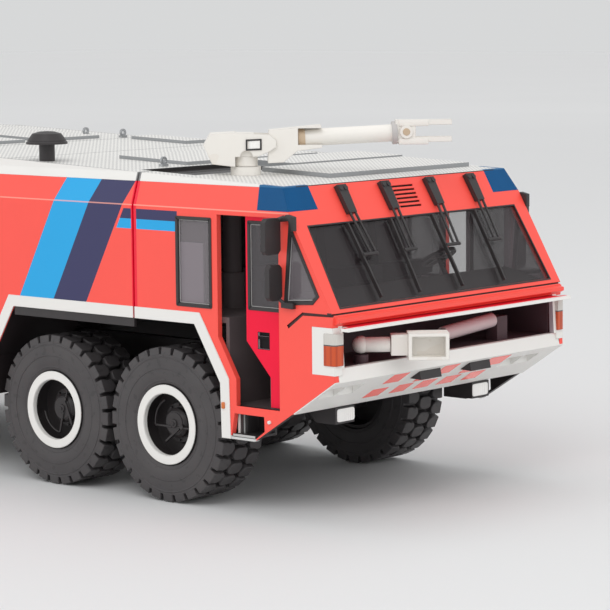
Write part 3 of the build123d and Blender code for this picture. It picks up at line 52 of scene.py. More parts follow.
# Sizes in millimetres, from the first axle, the middle line and the ground
HALF_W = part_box("body_shell")[1].y / MM
CREASE_Z = 102.0                # crease along the sides
COLOUR_Z = 110.0                # top of the red on the sides
SILL_TOP_Z = 67.1
SEAM_X = -11.7                  # gap between cab and body
ROOF_FRONT_X = 54.6
ROOF_FRONT_Z = 110.4
ROOF_RISE = 0.0385              # how far the roof rises for each millimetre back
RIDGE_X = 78.1                  # lower edge of the slanted front
RIDGE_Z = 69.7
FRONT_SLOPE = (ROOF_FRONT_X - RIDGE_X) / (ROOF_FRONT_Z - RIDGE_Z)
FRONT_OUT = Vector((1, 0, -FRONT_SLOPE)).normalized()
BUMPER_LOW = (61.0, 36.4)       # x and z where the slanted bumper face starts
BUMPER_HIGH = (78.9, 48.1)      # and where it ends
SIDES = (-1, 1)


def place(x, y, z):
    """A place in truck millimetres as a place in the row frame, in metres."""
    return Vector((AXLE_X + x * MM, y * MM, z * MM))


def hand(side):
    return "left" if side > 0 else "right"


# Paint and plastic

class Value:
    """A number that varies over a surface, kept as a chain of math nodes."""

    def __init__(self, tree, socket):
        self.tree = tree
        self.socket = socket

    def join(self, operation, other=None):
        made = self.tree.nodes.new("ShaderNodeMath")
        made.operation = operation
        for slot, part in zip(made.inputs, (self, other)):
            if isinstance(part, Value):
                self.tree.links.new(part.socket, slot)
            elif part is not None:
                slot.default_value = part
        return Value(self.tree, made.outputs[0])

    def __add__(self, other):
        return self.join("ADD", other)

    def __sub__(self, other):
        return self.join("SUBTRACT", other)

    def __mul__(self, other):
        return self.join("MULTIPLY", other)

    def __gt__(self, other):
        return self.join("GREATER_THAN", other)

    def __lt__(self, other):
        return self.join("LESS_THAN", other)

    def size(self):
        return self.join("ABSOLUTE")

    def wave(self):
        return self.join("SINE")

    def within(self, low, high):
        return (self > low) * (self < high)

    def either(self, other):
        return self.join("MAXIMUM", other)

    def opposite(self):
        return self * -1.0 + 1.0


class Paint:
    """One material under work: places on the truck, layered colours, bumps."""

    def __init__(self, name, color, rough, metal=0.0):
        self.material = bpy.data.materials.new(name)
        self.material.use_nodes = True
        self.tree = self.material.node_tree
        self.shader = self.tree.nodes["Principled BSDF"]
        self.set("Roughness", rough)
        self.set("Metallic", metal)
        self.rough = rough
        self.base = color
        self.color = None
        self.height = None
        spot = self.tree.nodes.new("ShaderNodeTexCoord")
        self.spot = spot.outputs["Object"]
        place_parts = self.split(self.spot)
        self.x = place_parts[0] * (1 / MM) - AXLE_X / MM
        self.y = place_parts[1] * (1 / MM)
        self.z = place_parts[2] * (1 / MM)
        # How far the surface faces along x, y and z, each from -1 to 1
        self.facing = self.split(spot.outputs["Normal"])

    def set(self, socket, value):
        """Sets one of the shader's own sockets."""
        self.shader.inputs[socket].default_value = value

    def split(self, socket):
        made = self.tree.nodes.new("ShaderNodeSeparateXYZ")
        self.tree.links.new(socket, made.inputs[0])
        return [Value(self.tree, made.outputs[n]) for n in range(3)]

    def behind_front(self, depth):
        """1 where a place lies that far behind the slanted front face."""
        return (self.x - RIDGE_X - (self.z - RIDGE_Z) * FRONT_SLOPE) < -depth

    def noise(self, scale, detail=3.0):
        made = self.tree.nodes.new("ShaderNodeTexNoise")
        made.inputs["Scale"].default_value = scale
        made.inputs["Detail"].default_value = detail
        self.tree.links.new(self.spot, made.inputs["Vector"])
        return Value(self.tree, made.outputs["Fac"])

    def layer(self, color, amount):
        """Lays a colour over what is there, where amount is 1."""
        made = self.tree.nodes.new("ShaderNodeMix")
        made.data_type = "RGBA"
        if self.color is None:
            made.inputs[6].default_value = (*self.base, 1)
        else:
            self.tree.links.new(self.color, made.inputs[6])
        made.inputs[7].default_value = (*color, 1)
        self.tree.links.new(amount.socket, made.inputs[0])
        self.color = made.outputs[2]

    def mottle(self, scale, strength):
        """Slight cloudiness of a brushed or sprayed coat."""
        shade = [c * 0.72 for c in self.base]
        self.layer(shade, (self.noise(scale) - 0.35) * strength)

    def raise_by(self, height):
        self.height = height if self.height is None else self.height + height

    def upright_ribs(self, pitch, height):
        """Fine upright ribs that run round the corner of a lens."""
        self.raise_by(((self.x + self.y) * (math.tau / pitch)).wave() * height)

    def done(self, edge=0.0, bump=0.5, rough_spread=0.12, grain=1800.0, glow=0.0):
        """Links colour, a glow of painted light, roughness, rounded edges and bumps to the shader.
        """
        links = self.tree.links
        links.new(self.color, self.shader.inputs["Base Color"])
        if glow:
            links.new(self.color, self.shader.inputs["Emission Color"])
            self.set("Emission Strength", glow)
        rough = (self.noise(260.0) - 0.5) * rough_spread + self.rough
        links.new(rough.socket, self.shader.inputs["Roughness"])
        self.raise_by(self.noise(grain, 2.0) * 0.012)
        relief = self.tree.nodes.new("ShaderNodeBump")
        relief.inputs["Distance"].default_value = MM
        relief.inputs["Strength"].default_value = bump
        links.new(self.height.socket, relief.inputs["Height"])
        if edge:
            rounding = self.tree.nodes.new("ShaderNodeBevel")
            rounding.samples = 4
            rounding.inputs["Radius"].default_value = edge * MM
            links.new(rounding.outputs[0], relief.inputs["Normal"])
        links.new(relief.outputs[0], self.shader.inputs["Normal"])
        return self.material


RED = (0.95, 0.085, 0.062)
RED_SHADE = (0.72, 0.006, 0.03)
SEAM_SHADE_RED = (0.85, 0.0, 0.03)
CREASE_HIGHLIGHT_PINK = (1.0, 0.42, 0.33)
DOOR_RED = (0.86, 0.008, 0.045)
ARCH_BLACK = (0.016, 0.012, 0.013)
GROOVE_SHADE_BLACK = (0.055, 0.018, 0.018)
LOUVRE_BLACK = (0.05, 0.012, 0.012)
RECESS_BLACK = (0.004, 0.002, 0.003)
SLOT_SHADE_BLACK = (0.022, 0.018, 0.018)
WHITE = (0.83, 0.82, 0.79)
FOOT_GREY = (0.62, 0.62, 0.61)
RIB_SHADE = (0.36, 0.36, 0.36)
ROOF_SEAM_SHADE_GREY = (0.22, 0.22, 0.22)
HATCH_EDGE_GREY = (0.30, 0.31, 0.32)
CORNER_BLUE = (0.0, 0.12, 0.30)
SKY_BLUE = (0.0, 0.36, 0.74)
NAVY = (0.026, 0.026, 0.10)
LILAC = (0.42, 0.36, 0.39)      # bare plastic on inner faces
SEAT_SHADE = (0.33, 0.285, 0.315)

STRIPE_LEAN = 0.53              # how far a stripe leans back for each millimetre down
STRIPES = ((-46.4, -29.0, SKY_BLUE), (-29.0, -12.5, NAVY))      # x at the top of the red
BARS = ((97.2, 100.7, NAVY), (93.8, 97.2, SKY_BLUE))            # heights of the level bars
BARS_REAR_X = -11.2
BARS_FRONT_X = 9.2
SIDE_SKIN = 4.5                 # how far in a face still belongs to a side
INSIDE = 0.4                    # this far behind the skin a place counts as inside
SEAM_HALF = (0.9, 1.6)          # behind and ahead of the seam's middle
ROOF_SEAM_HALF = (0.9, 1.2)
SEAM_DEPTH = 6.0
CREASE_HALF = 0.22
REVEAL_Z = (69.0, 99.8)         # edges of the side windows
REVEAL_X = ((8.0, 25.5), (56.6, 72.6))
GROOVE_X = (57.5, 77.6)         # painted shade in the groove over the bumper, on the sides
GROOVE_Z = (64.2, 70.6)
GROOVE_DEPTH = (0.8, 0.15)
FRONT_GROOVE_X = 75.5           # and on the front, above the ridge
FRONT_GROOVE_RISE = (0.1, 1.1)
FRONT_GROOVE_DEPTH = 0.12
LOUVRE_REAR_X = 50.0
LOUVRE_Y = (-6.4, 5.9)
LOUVRE_Z = (99.8, 108.6)
DOORWAY_X = 15.0                # ahead of this the pillars of the doorway stay red
DOORWAY_DEPTH = 6.0
ARCH_END_X = 33.0
UNDER_Z = 63.2                  # faces that look down below this are black
UNDER_X = 60.0
LOW_INSIDE_Z = 50.0
LOW_STEP_X = (30.0, 44.2)
LOW_STEP_Z = 26.9
CHEEK_Y = (57.2, 59.7)          # upright walls between headlamps and bay
CHEEK_Z = (50.0, 66.4)
CHEEK_X = 70.0
HANDLE_X = (43.3, 48.6)
HANDLE_Z = (56.4, 62.2)
LEAN_W = 4.0                    # smooth edge of the roof beside the walkway
RIB_PITCH = 1.9
CORNER_LAMP_X = 44.4            # rear end of the blue corner lamps
CORNER_LAMP_W = 15.0
CORNER_LAMP_EDGE = (1.6, 0.9)    # how far they reach back and in over the edges
HATCH_EDGE_Z = ROOF_FRONT_Z - 0.2
SLOT_X = -40.0                  # rear end of the sunken slot in the roof, painted dark as shade
SLOT_SIDE = 9.0
SLOT_DEPTH = 0.12
DARK_PANE_X = (30.0, 56.5)
SEAT_X = (9.4, 20.6)            # seat behind the rear side window
SEAT_TOP_Z = 90.4
REAR_AMBER_Z = (69.0, 77.0)
FLAP_RIM_X = 81.9
LENS_SPLIT_Z = 60.4             # clear headlamp lens above, amber below
LENS_SPLIT_HALF = 0.2


def add_stripes(paint, outside):
    """Two broad stripes that lean back, and two thin level bars ahead of them."""
    lean = paint.x - (paint.z - COLOUR_Z) * STRIPE_LEAN
    for low, high, color in STRIPES:
        paint.layer(color, lean.within(low, high) * outside)
    for low, high, color in BARS:
        bar = paint.z.within(low, high) * (lean > BARS_REAR_X) * (paint.x < BARS_FRONT_X)
        paint.layer(color, bar * outside)


def add_bare_plastic(paint, upright, beside):
    """Lilac on the inner faces of the cab and in the reveals of the side windows."""
    inner = (paint.facing[1] * paint.y < 0.0) * upright * beside * (paint.x > SEAM_X)
    window = paint.x.within(*REVEAL_X[0]).either(paint.x.within(*REVEAL_X[1]))
    reveal = (paint.y.size() < HALF_W - 0.3) * paint.z.within(*REVEAL_Z) * \
        paint.behind_front(INSIDE) * window * upright.opposite()
    paint.layer(LILAC, inner.either(reveal))


def add_grooves(paint):
    """Painted shade in the groove over the bumper and above the ridge, and the dark louvres above
    the windshield.
    """
    beside = paint.y.size().within(*(HALF_W - depth for depth in GROOVE_DEPTH)) * \
        paint.z.within(*GROOVE_Z) * paint.x.within(*GROOVE_X)
    ahead = paint.behind_front(FRONT_GROOVE_DEPTH) * (paint.x > FRONT_GROOVE_X) * \
        paint.z.within(*(RIDGE_Z + rise for rise in FRONT_GROOVE_RISE))
    # Painted shade: the grooves are darkened where shade falls in them.
    paint.layer(GROOVE_SHADE_BLACK, beside.either(ahead))
    louvre = paint.behind_front(INSIDE) * (paint.x > LOUVRE_REAR_X) * \
        paint.z.within(*LOUVRE_Z) * paint.y.within(*LOUVRE_Y)
    paint.layer(LOUVRE_BLACK, louvre)


def add_dark_underside(paint):
    """Black in the wheel arches, under the sills and behind the bumper."""
    inward = paint.y.size() < HALF_W - INSIDE
    doorway = (paint.facing[0] > 0.3) * (paint.y.size() > HALF_W - DOORWAY_DEPTH) * \
        (paint.x > DOORWAY_X)
    arch = inward * (paint.z < SILL_TOP_Z) * (paint.x < ARCH_END_X) * doorway.opposite()
    below = (paint.z < UNDER_Z) * (paint.facing[2] < -0.6) * (paint.x < UNDER_X)
    low_inside = inward * (paint.z < LOW_INSIDE_Z) * (paint.facing[0] < 0.5)
    paint.layer(ARCH_BLACK, arch.either(below).either(low_inside))
    paint.layer(FOOT_GREY, (paint.z < LOW_STEP_Z) * paint.x.within(*LOW_STEP_X))


def red_coat(name, striped):
    """Day-glow red, with the slanted blue stripes on the sides of cab and body; a small glow of
    painted light keeps the red bright in shade.
    """
    paint = Paint(name, RED, 0.4)
    paint.mottle(55.0, 0.25)
    beside = paint.y.size() > HALF_W - SIDE_SKIN
    upright = paint.facing[1].size() > 0.5
    outside = (paint.facing[1] * paint.y > 0.0) * upright * beside
    if striped:
        add_stripes(paint, outside)
    # Painted shade: a crimson band either side of the gap between cab and body, where the seam's
    # walls lie in shade.
    seam = paint.x.within(SEAM_X - SEAM_HALF[0], SEAM_X + SEAM_HALF[1])
    paint.layer(SEAM_SHADE_RED, seam * (paint.y.size() > HALF_W - SEAM_DEPTH))
    # Painted highlight: a thin pale pink line along the crease, where light catches its edge.
    crease = (paint.z - CREASE_Z).size() < CREASE_HALF
    paint.layer(CREASE_HIGHLIGHT_PINK, crease * outside * 0.6)
    add_bare_plastic(paint, upright, beside)
    add_grooves(paint)
    add_dark_underside(paint)
    cheek = paint.y.size().within(*CHEEK_Y) * paint.z.within(*CHEEK_Z) * (paint.x > CHEEK_X)
    paint.layer(WHITE, cheek * (paint.facing[0] > 0.5))
    paint.layer(LILAC, cheek * upright)
    return paint.done(edge=0.3, glow=0.05)


def door_coat():
    """Door paint, deeper red in the doorway's shade, with the dark handle recess."""
    paint = Paint("door_red", DOOR_RED, 0.45)
    paint.set("Specular IOR Level", 0.2)
    paint.mottle(55.0, 0.25)
    paint.layer(RECESS_BLACK, paint.x.within(*HANDLE_X) * paint.z.within(*HANDLE_Z))
    outward = paint.facing[1] * paint.y > 0.0
    paint.layer(LILAC, outward.opposite())
    # The small glow is painted light that keeps the door's red bright in shade.
    return paint.done(edge=0.2, glow=0.05)


def add_roof_details(paint):
    """Ribs of the walkways, painted shade at the seam, blue corners, grey hatch edges and painted
    shade in the sunken slot.
    """
    upward = paint.facing[2] > 0.97
    walk = upward * (paint.y.size() < HALF_W - LEAN_W)
    across = (paint.x * (math.tau / RIB_PITCH)).wave()
    along = (paint.y * (math.tau / RIB_PITCH)).wave()
    ribs = (across * along + 0.15 > 0.0) * walk
    paint.layer(RIB_SHADE, ribs.opposite() * walk * 0.62)
    paint.raise_by(ribs * 0.12)
    # Painted shade: a grey band on the white roof either side of the gap between cab and body.
    seam = paint.x.within(SEAM_X - ROOF_SEAM_HALF[0], SEAM_X + ROOF_SEAM_HALF[1])
    paint.layer(ROOF_SEAM_SHADE_GREY, seam * (paint.y.size() > HALF_W - SEAM_DEPTH))
    back, inner = CORNER_LAMP_EDGE
    corner = (paint.x > CORNER_LAMP_X) * (paint.y.size() > HALF_W - CORNER_LAMP_W) * \
        (paint.x > ROOF_FRONT_X - back).either(paint.y.size() > HALF_W - LEAN_W - inner)
    paint.layer(CORNER_BLUE, corner)
    edges = (paint.facing[0].size() > 0.9).either(paint.facing[1].size() > 0.99)
    paint.layer(HATCH_EDGE_GREY,
                edges * (paint.z > HATCH_EDGE_Z) * (paint.y.size() < HALF_W - LEAN_W))
    # Painted shade: places sunk below the roof's level are painted dark, as the slot's floor lies
    # in shade.
    level = (paint.x - ROOF_FRONT_X) * -ROOF_RISE + ROOF_FRONT_Z
    sunk = (level - paint.z > SLOT_DEPTH) * (paint.x > SLOT_X) * \
        (paint.y.size() < HALF_W - SLOT_SIDE)
    paint.layer(SLOT_SHADE_BLACK, sunk)


def white_coat(name, roof=False):
    """Satin white; on the roof with the fine ribs of the walkways."""
    paint = Paint(name, WHITE, 0.42)
    paint.mottle(40.0, 0.12)
    if roof:
        add_roof_details(paint)
    return paint.done(edge=0.3)


def flap_coat():
    """White rim; red on its two broad faces, painted in the darker red of shade, with a small glow
    of painted light.
    """
    paint = Paint("flap_white_and_red", WHITE, 0.42)
    paint.mottle(40.0, 0.12)
    paint.layer(RED_SHADE, (paint.facing[2].size() > 0.5) * (paint.x < FLAP_RIM_X))
    return paint.done(edge=0.25, glow=0.05)


def dull_coat(name, color, rough, light=0.4):
    """Matt plastic, brushed a little lighter here and there."""
    paint = Paint(name, color, rough)
    pale = [min(1.0, c * 2.2 + 0.01) for c in color]
    paint.layer(pale, (paint.noise(90.0) - 0.42) * light)
    return paint.done(edge=0.25, grain=2500.0)


def rubber_coat():
    """Soft tyre plastic, dusty in random patches, with darker specks."""
    paint = Paint("tyre_rubber", (0.056, 0.051, 0.053), 0.5)
    paint.layer((0.10, 0.092, 0.090), (paint.noise(70.0) - 0.4) * 0.8)
    paint.layer((0.012, 0.012, 0.013), (paint.noise(420.0) > 0.62) * 0.3)
    return paint.done(edge=0.25, grain=3200.0)


def glass_coat(name, color, alpha, dark=None):
    """Clear moulded plastic with an uneven tint, darker ahead of the doorway."""
    paint = Paint(name, color, 0.05)
    paint.layer([c * 0.7 for c in color], (paint.noise(22.0) - 0.4) * 0.8)
    if dark:
        paint.layer(dark, paint.x.within(*DARK_PANE_X))
        seat = paint.x.within(*SEAT_X) * (paint.z < SEAT_TOP_Z)
        paint.layer(SEAT_SHADE, seat * 0.8)
    paint.set("Alpha", alpha)
    paint.set("Coat Weight", 0.6)
    paint.set("Coat Roughness", 0.03)
    return paint.done(bump=0.02, rough_spread=0.03)


def lens_coat(name, color, depth=0.45, ribs=0.0, glow=0.0, coat=0.3, shine=0.5):
    """Coloured lens, clouded at random, with fine upright ribs behind its face."""
    paint = Paint(name, color, 0.18)
    paint.layer([c * depth for c in color], (paint.noise(120.0) - 0.4) * 0.9)
    paint.set("Coat Weight", coat)
    paint.set("Specular IOR Level", shine)
    if ribs:
        paint.upright_ribs(ribs, 0.10)
    return paint.done(edge=0.3, glow=glow)


def headlamp_coat():
    """Amber lamp below, clear lamp above, with upright ribs."""
    paint = Paint("amber_and_clear_lens", (0.60, 0.072, 0.008), 0.22)
    bands = ((paint.x + paint.y * 0.8) * (math.tau / 2.4)).wave() * 0.5
    paint.layer((0.30, 0.022, 0.004), bands)
    paint.layer((0.62, 0.60, 0.56), paint.z > LENS_SPLIT_Z)
    paint.layer((0.10, 0.09, 0.09), (paint.z - LENS_SPLIT_Z).size() < LENS_SPLIT_HALF)
    paint.set("Coat Weight", 0.2)
    paint.upright_ribs(0.9, 0.05)
    return paint.done(edge=0.4)


def rear_lamp_coat():
    """Red lamps with the amber one in the middle."""
    paint = Paint("rear_lens", (0.50, 0.012, 0.014), 0.16)
    paint.layer((0.70, 0.20, 0.02), paint.z.within(*REAR_AMBER_Z))
    paint.layer((0.10, 0.02, 0.02), (paint.noise(150.0) - 0.4) * 0.7)
    paint.raise_by((paint.y * (math.tau / 0.9)).wave() * 0.06)
    paint.set("Coat Weight", 0.1)
    paint.set("Specular IOR Level", 0.3)
    return paint.done(edge=0.3)


def shutter_coat():
    """Silver paint on the roller shutters, brushed along the slats."""
    paint = Paint("shutter_silver", (0.42, 0.43, 0.44), 0.34, 0.75)
    paint.layer((0.26, 0.27, 0.28), (paint.noise(160.0) - 0.4) * 0.8)
    return paint.done(edge=0.15)


def monitor_coat():
    """White plastic with faint tan patches at random, meant as the shade of the hollows but not
    laid in them.
    """
    paint = Paint("monitor_white", (0.84, 0.81, 0.76), 0.45)
    paint.mottle(60.0, 0.2)
    paint.layer((0.60, 0.47, 0.34), (paint.noise(35.0) > 0.64) * 0.12)
    return paint.done(edge=0.45)


COATS = {
    "red_paint": red_coat("luminous_red", False),
    "white_paint": white_coat("satin_white"),
    "silver": shutter_coat(),
    "clear_glass": glass_coat("smoky_pane", (0.22, 0.195, 0.21), 0.62, (0.075, 0.066, 0.072)),
    "blue_lens": lens_coat("blue_lens", (0.0, 0.078, 0.225), 0.7, coat=0.0, shine=0.15),
    "amber_lens": headlamp_coat(),
    "red_lens": rear_lamp_coat(),
    "dark_trim": dull_coat("seat_black", (0.035, 0.033, 0.036), 0.7),
    "grey_trim": dull_coat("dashboard_grey", (0.06, 0.057, 0.057), 0.65),
    "black_plastic": dull_coat("satin_black", (0.028, 0.024, 0.025), 0.45),
    "tyre_rubber": rubber_coat()}
ROOF_COAT = white_coat("walkway_white", True)
STRIPED_RED = red_coat("striped_red", True)
MONITOR_COAT = monitor_coat()
OWN_COATS = {
    "cab_shell": STRIPED_RED,
    "body_shell": STRIPED_RED,
    "doors": door_coat(),
    "cab_roof": ROOF_COAT,
    "roof_deck": ROOF_COAT,
    "roof_hatches": ROOF_COAT,
    "front_flap": flap_coat(),
    "windshield": glass_coat("dark_windshield", (0.035, 0.026, 0.029), 0.36),
    "roof_monitor_base": MONITOR_COAT,
    "roof_monitor_turret": MONITOR_COAT,
    "roof_monitor_barrel": MONITOR_COAT,
    "bumper_monitor_arm": MONITOR_COAT,
    "bumper_monitor_nozzle": MONITOR_COAT,
    "foam_pipe": dull_coat("pale_pipe", (0.66, 0.52, 0.53), 0.5, 0.15),
    "monitor_bay": dull_coat("bay_brown", (0.075, 0.040, 0.048), 0.6),
    "cab_tub": dull_coat("cab_black", (0.10, 0.078, 0.080), 0.5, 0.25)}
RUBBER = COATS["black_plastic"]
PLAIN_WHITE = COATS["white_paint"]
RIBBED_GREY = lens_coat("ribbed_grey", (0.42, 0.42, 0.41), 0.8, coat=0.0)
SILVER_EDGE = dull_coat("light_grey", (0.50, 0.50, 0.49), 0.45, 0.2)
# The hazard marks take a glow of painted light that brightens them on the bumper's face that looks
# down.
HAZARD_RED = lens_coat("hazard_red", (0.95, 0.19, 0.16), 0.9, glow=0.12, coat=0.0)
# The fog lens takes a small glow of painted light; the lamp itself is unlit.
FOG_WHITE = lens_coat("fog_lens", (0.86, 0.85, 0.83), 0.85, ribs=1.1, glow=0.1)
AMBER = lens_coat("amber_marker", (0.66, 0.16, 0.02))
# Tan is painted shade, standing for the shade in the hollows of the monitor.
TAN_SHADE = dull_coat("tan_shaded_hollow", (0.56, 0.43, 0.30), 0.6, 0.1)
COLLAR_GREY = dull_coat("collar_grey", (0.50, 0.48, 0.47), 0.5, 0.2)


# Modelling by hand

def start():
    """Nothing selected, so that an operator acts only on the new piece."""
    bpy.ops.object.select_all(action="DESELECT")


def finished(name, body, coat, smooth=30.0):
    """Names the piece in hand, gives it its finish and lets it ride on a body."""
    if bpy.context.object.mode == "EDIT":
        bpy.ops.object.mode_set(mode="OBJECT")
    piece = bpy.context.object
    piece.name = name
    bpy.ops.object.transform_apply(location=True, rotation=True, scale=True)
    bpy.ops.object.shade_smooth_by_angle(angle=math.radians(smooth))
    piece.data.materials.clear()
    piece.data.materials.append(coat)
    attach(piece, body)
    return piece


def put_corners(points, fill):
    """A closed outline with one corner at each point, in edit mode."""
    start()
    bpy.ops.mesh.primitive_circle_add(vertices=len(points), fill_type=fill)
    bpy.ops.object.mode_set(mode="EDIT")
    mesh = bmesh.from_edit_mesh(bpy.context.object.data)
    for corner, point in zip(mesh.verts, points):
        corner.co = point
    mesh.normal_update()
    bmesh.update_edit_mesh(bpy.context.object.data)


def outline_face(points):
    """A flat face with one corner at each point, in edit mode, selected."""
    put_corners(points, "NGON")
    bpy.ops.mesh.select_mode(type="FACE")
    bpy.ops.mesh.select_all(action="SELECT")


def close_up():
    bpy.ops.mesh.select_all(action="SELECT")
    bpy.ops.mesh.remove_doubles(threshold=0.00001)
    bpy.ops.mesh.normals_make_consistent(inside=False)


def soften(edge, segments=2):
    """Rounds off the edges of what is selected."""
    bpy.ops.mesh.bevel(offset=edge * MM, segments=segments, affect="EDGES", clamp_overlap=True)


def plate(name, points, push, slot, coat, body="truck", rim=0.0, edge=0.0, smooth=30.0):
    """A flat plate, or with rim a frame of that width, raised from its outline."""
    outline_face(points)
    if rim:
        bpy.ops.mesh.inset(thickness=rim * MM)
        bpy.ops.mesh.delete(type="FACE")
        bpy.ops.mesh.select_all(action="SELECT")
    bpy.ops.mesh.extrude_region_move(TRANSFORM_OT_translate={"value": push})
    close_up()
    if edge:
        soften(edge)
    return finished(name, body, coat, smooth)


def side_plate(name, outline, side, y0, y1, slot, coat, **more):
    """A plate on one side of the truck, from (x, z) corners."""
    points = [place(x, side * y0, z) for x, z in outline]
    push = (0, side * (y1 - y0) * MM, 0)
    return plate(f"{name}_{hand(side)}", points, push, slot, coat, **more)


def box_outline(x0, x1, z0, z1):
    """Corners of a rectangle with sharp corners."""
    return [(x0, z0), (x1, z0), (x1, z1), (x0, z1)]


def rounded(x0, x1, z0, z1, radius, steps=4):
    """Corners of a rectangle with round corners."""
    points = []
    for cx, cz, first in ((x1, z1, 0), (x0, z1, 1), (x0, z0, 2), (x1, z0, 3)):
        mx = cx - math.copysign(radius, cx - (x0 + x1) / 2)
        mz = cz - math.copysign(radius, cz - (z0 + z1) / 2)
        for n in range(steps + 1):
            angle = (first + n / steps) * math.pi / 2
            points.append((mx + radius * math.cos(angle), mz + radius * math.sin(angle)))
    return points


def add_cylinder(radius, depth, location, rotation=(0, 0, 0), corners=32):
    bpy.ops.mesh.primitive_cylinder_add(vertices=corners, radius=radius * MM, depth=depth * MM,
                                        location=location, rotation=rotation)
    return bpy.context.object


# Wheels

TYRE_LOW, TYRE_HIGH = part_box("tyre_1_right")
TYRE_R = TYRE_HIGH.z / 2 / MM
TYRE_HALF = (TYRE_HIGH.y - TYRE_LOW.y) / 2 / MM
BEAD_R = 14.0
GROOVE_R = 24.4                 # bottom of the tread grooves
FOOT_R = GROOVE_R - 0.4         # foot of the tread blocks, sunk in the carcass
WALL_GAP = 0.05                 # from the widest place of the wall to the tyre's full width
BULGE_SHARE = 0.45              # where that place lies between bead and grooves
BEAD_DROP = 0.9                 # how far the wall draws in at the bead
SHOULDER_DROP = 0.35            # and at the shoulder
WALL_RINGS = (15.3, 19.4, 23.3)
RING_SHAPE = ((-0.28, 0.0), (-0.1, 0.14), (0.1, 0.14), (0.28, 0.0))
WALL_STEPS = 13
WALL_STEP = 0.84
TREAD_EDGE = ((GROOVE_R, TYRE_HALF - 0.75), (GROOVE_R, 4.5))
BORE_HALF = TYRE_HALF - 1.6
LUGS = 28
STEPS_ROUND = 112
# Tread blocks laid flat: place along the tread, and across it from the middle
SHOULDER_LUG = [(-2.3, 9.75), (-2.4, 7.6), (-2.75, 5.9), (-1.9, 4.6), (-0.5, 3.75),
                (0.7, 3.9), (2.1, 5.2), (1.75, 6.3), (2.3, 7.8), (2.25, 9.75)]
CENTRE_BLOCK = [(-2.45, -1.6), (-1.7, -3.1), (0.9, -3.3), (2.2, -2.1),
                (2.45, 1.6), (1.7, 3.1), (-0.9, 3.3), (-2.2, 2.1)]
LUG_END = 9.0                   # beyond this a shoulder lug flares
LUG_FLARE = 0.45
BLOCK_FLARE = 0.1               # share by which a block is longer at its foot

RIM_RING = [(13.85, 10.12), (13.7, 10.3), (10.95, 10.3), (10.68, 10.05), (10.68, 8.6),
            (10.78, 8.6), (10.78, 10.12)]
HUB_FACE = 6.0
AIR_LINE_R = 8.8
AIR_LINE_T = 0.36
AIR_LINE_ARC = 72.0
AIR_LINE_TURN = -64.0
STUDS = 10
STUD_RING_R = 6.15
STUD_TURN = 0.3
MIDDLE = (0.0, 0.0)
HUB_FLANGE = (7.0, 1.6, 1.7, MIDDLE, 32)    # radius, height, thickness, place, corners
HUB_DISCS = ((3.9, HUB_FACE, 0.25, MIDDLE, 32), (1.5, HUB_FACE, 0.8, MIDDLE, 16),
             (0.7, HUB_FACE, 1.2, MIDDLE, 6), (0.9, HUB_FACE, 1.0, (-3.9, -0.9), 8))
HUB_BARS = (                                # two ends, height, thickness
    ((8.7, -1.2), (1.0, -1.2), HUB_FACE + 0.4, 0.7),
    ((-1.6, -1.2), (-7.6, -1.2), HUB_FACE + 0.4, 0.6),
    ((-2.6, -1.6), (3.8, -6.5), HUB_FACE + 0.45, 0.8))
AXLE_TURN = {1: 0.0, 2: 75.0, 3: 20.0, 4: -50.0}        # how far each hub has rolled on


def spin_section(section, steps=STEPS_ROUND, turn=math.tau):
    """Turns a closed outline of (radius, across) points about the wheel's axis."""
    put_corners([(radius * MM, across * MM, 0) for radius, across in section], "NOTHING")
    bpy.ops.mesh.select_all(action="SELECT")
    bpy.ops.mesh.spin(steps=steps, angle=turn, center=(0, 0, 0), axis=(0, -1, 0))
    close_up()
    bpy.ops.object.mode_set(mode="OBJECT")
    return bpy.context.object


def wall_bulge(radius):
    """How far out the tyre wall stands at a radius."""
    share = (radius - BEAD_R) / (GROOVE_R - BEAD_R)
    if share < BULGE_SHARE:
        drop = BEAD_DROP * (1 - share / BULGE_SHARE) ** 2
    else:
        drop = SHOULDER_DROP * ((share - BULGE_SHARE) / (1 - BULGE_SHARE)) ** 2
    return TYRE_HALF - WALL_GAP - drop


def tyre_section():
    """Bulged walls with faint rings, flat under the tread, closed along the bore."""
    points = [(BEAD_R + 0.2 + n * WALL_STEP, 0.0) for n in range(WALL_STEPS)]
    for ring in WALL_RINGS:
        points += [(ring + aside, raised) for aside, raised in RING_SHAPE]
    half = [(radius, wall_bulge(radius) + raised) for radius, raised in sorted(points)]
    half += TREAD_EDGE
    other = [(radius, -across) for radius, across in reversed(half)]
    return half + other + [(BEAD_R, -BORE_HALF), (BEAD_R, BORE_HALF)]


def tread_block(outline):
    """One tread block, bent round the tyre and widening towards its foot."""
    outline_face([Vector((u * MM, v * MM, FOOT_R * MM)) for u, v in outline])
    bpy.ops.mesh.extrude_region_move(
        TRANSFORM_OT_translate={"value": (0, 0, (TYRE_R - FOOT_R) * MM)})
    close_up()
    soften(0.2, 1)
    mesh = bmesh.from_edit_mesh(bpy.context.object.data)
    for point in mesh.verts:
        along, across, radius = (c / MM for c in point.co)
        drop = (TYRE_R - radius) / (TYRE_R - FOOT_R)
        if across > LUG_END:
            across += drop * LUG_FLARE
        turn = along * (1 + BLOCK_FLARE * drop) / TYRE_R
        point.co = (radius * math.sin(turn) * MM, across * MM, radius * math.cos(turn) * MM)
    bmesh.update_edit_mesh(bpy.context.object.data)
    bpy.ops.object.mode_set(mode="OBJECT")
    return bpy.context.object


def add_ring_of(whole, block, first, flip):
    """Copies one tread block all round into the tyre's mesh."""
    for n in range(LUGS):
        copy = block.data.copy()
        turn = Matrix.Rotation((n + first) * math.tau / LUGS, 4, "Y")
        copy.transform(turn @ Matrix.Rotation(math.pi if flip else 0.0, 4, "Z"))
        whole.from_mesh(copy)
        bpy.data.meshes.remove(copy)


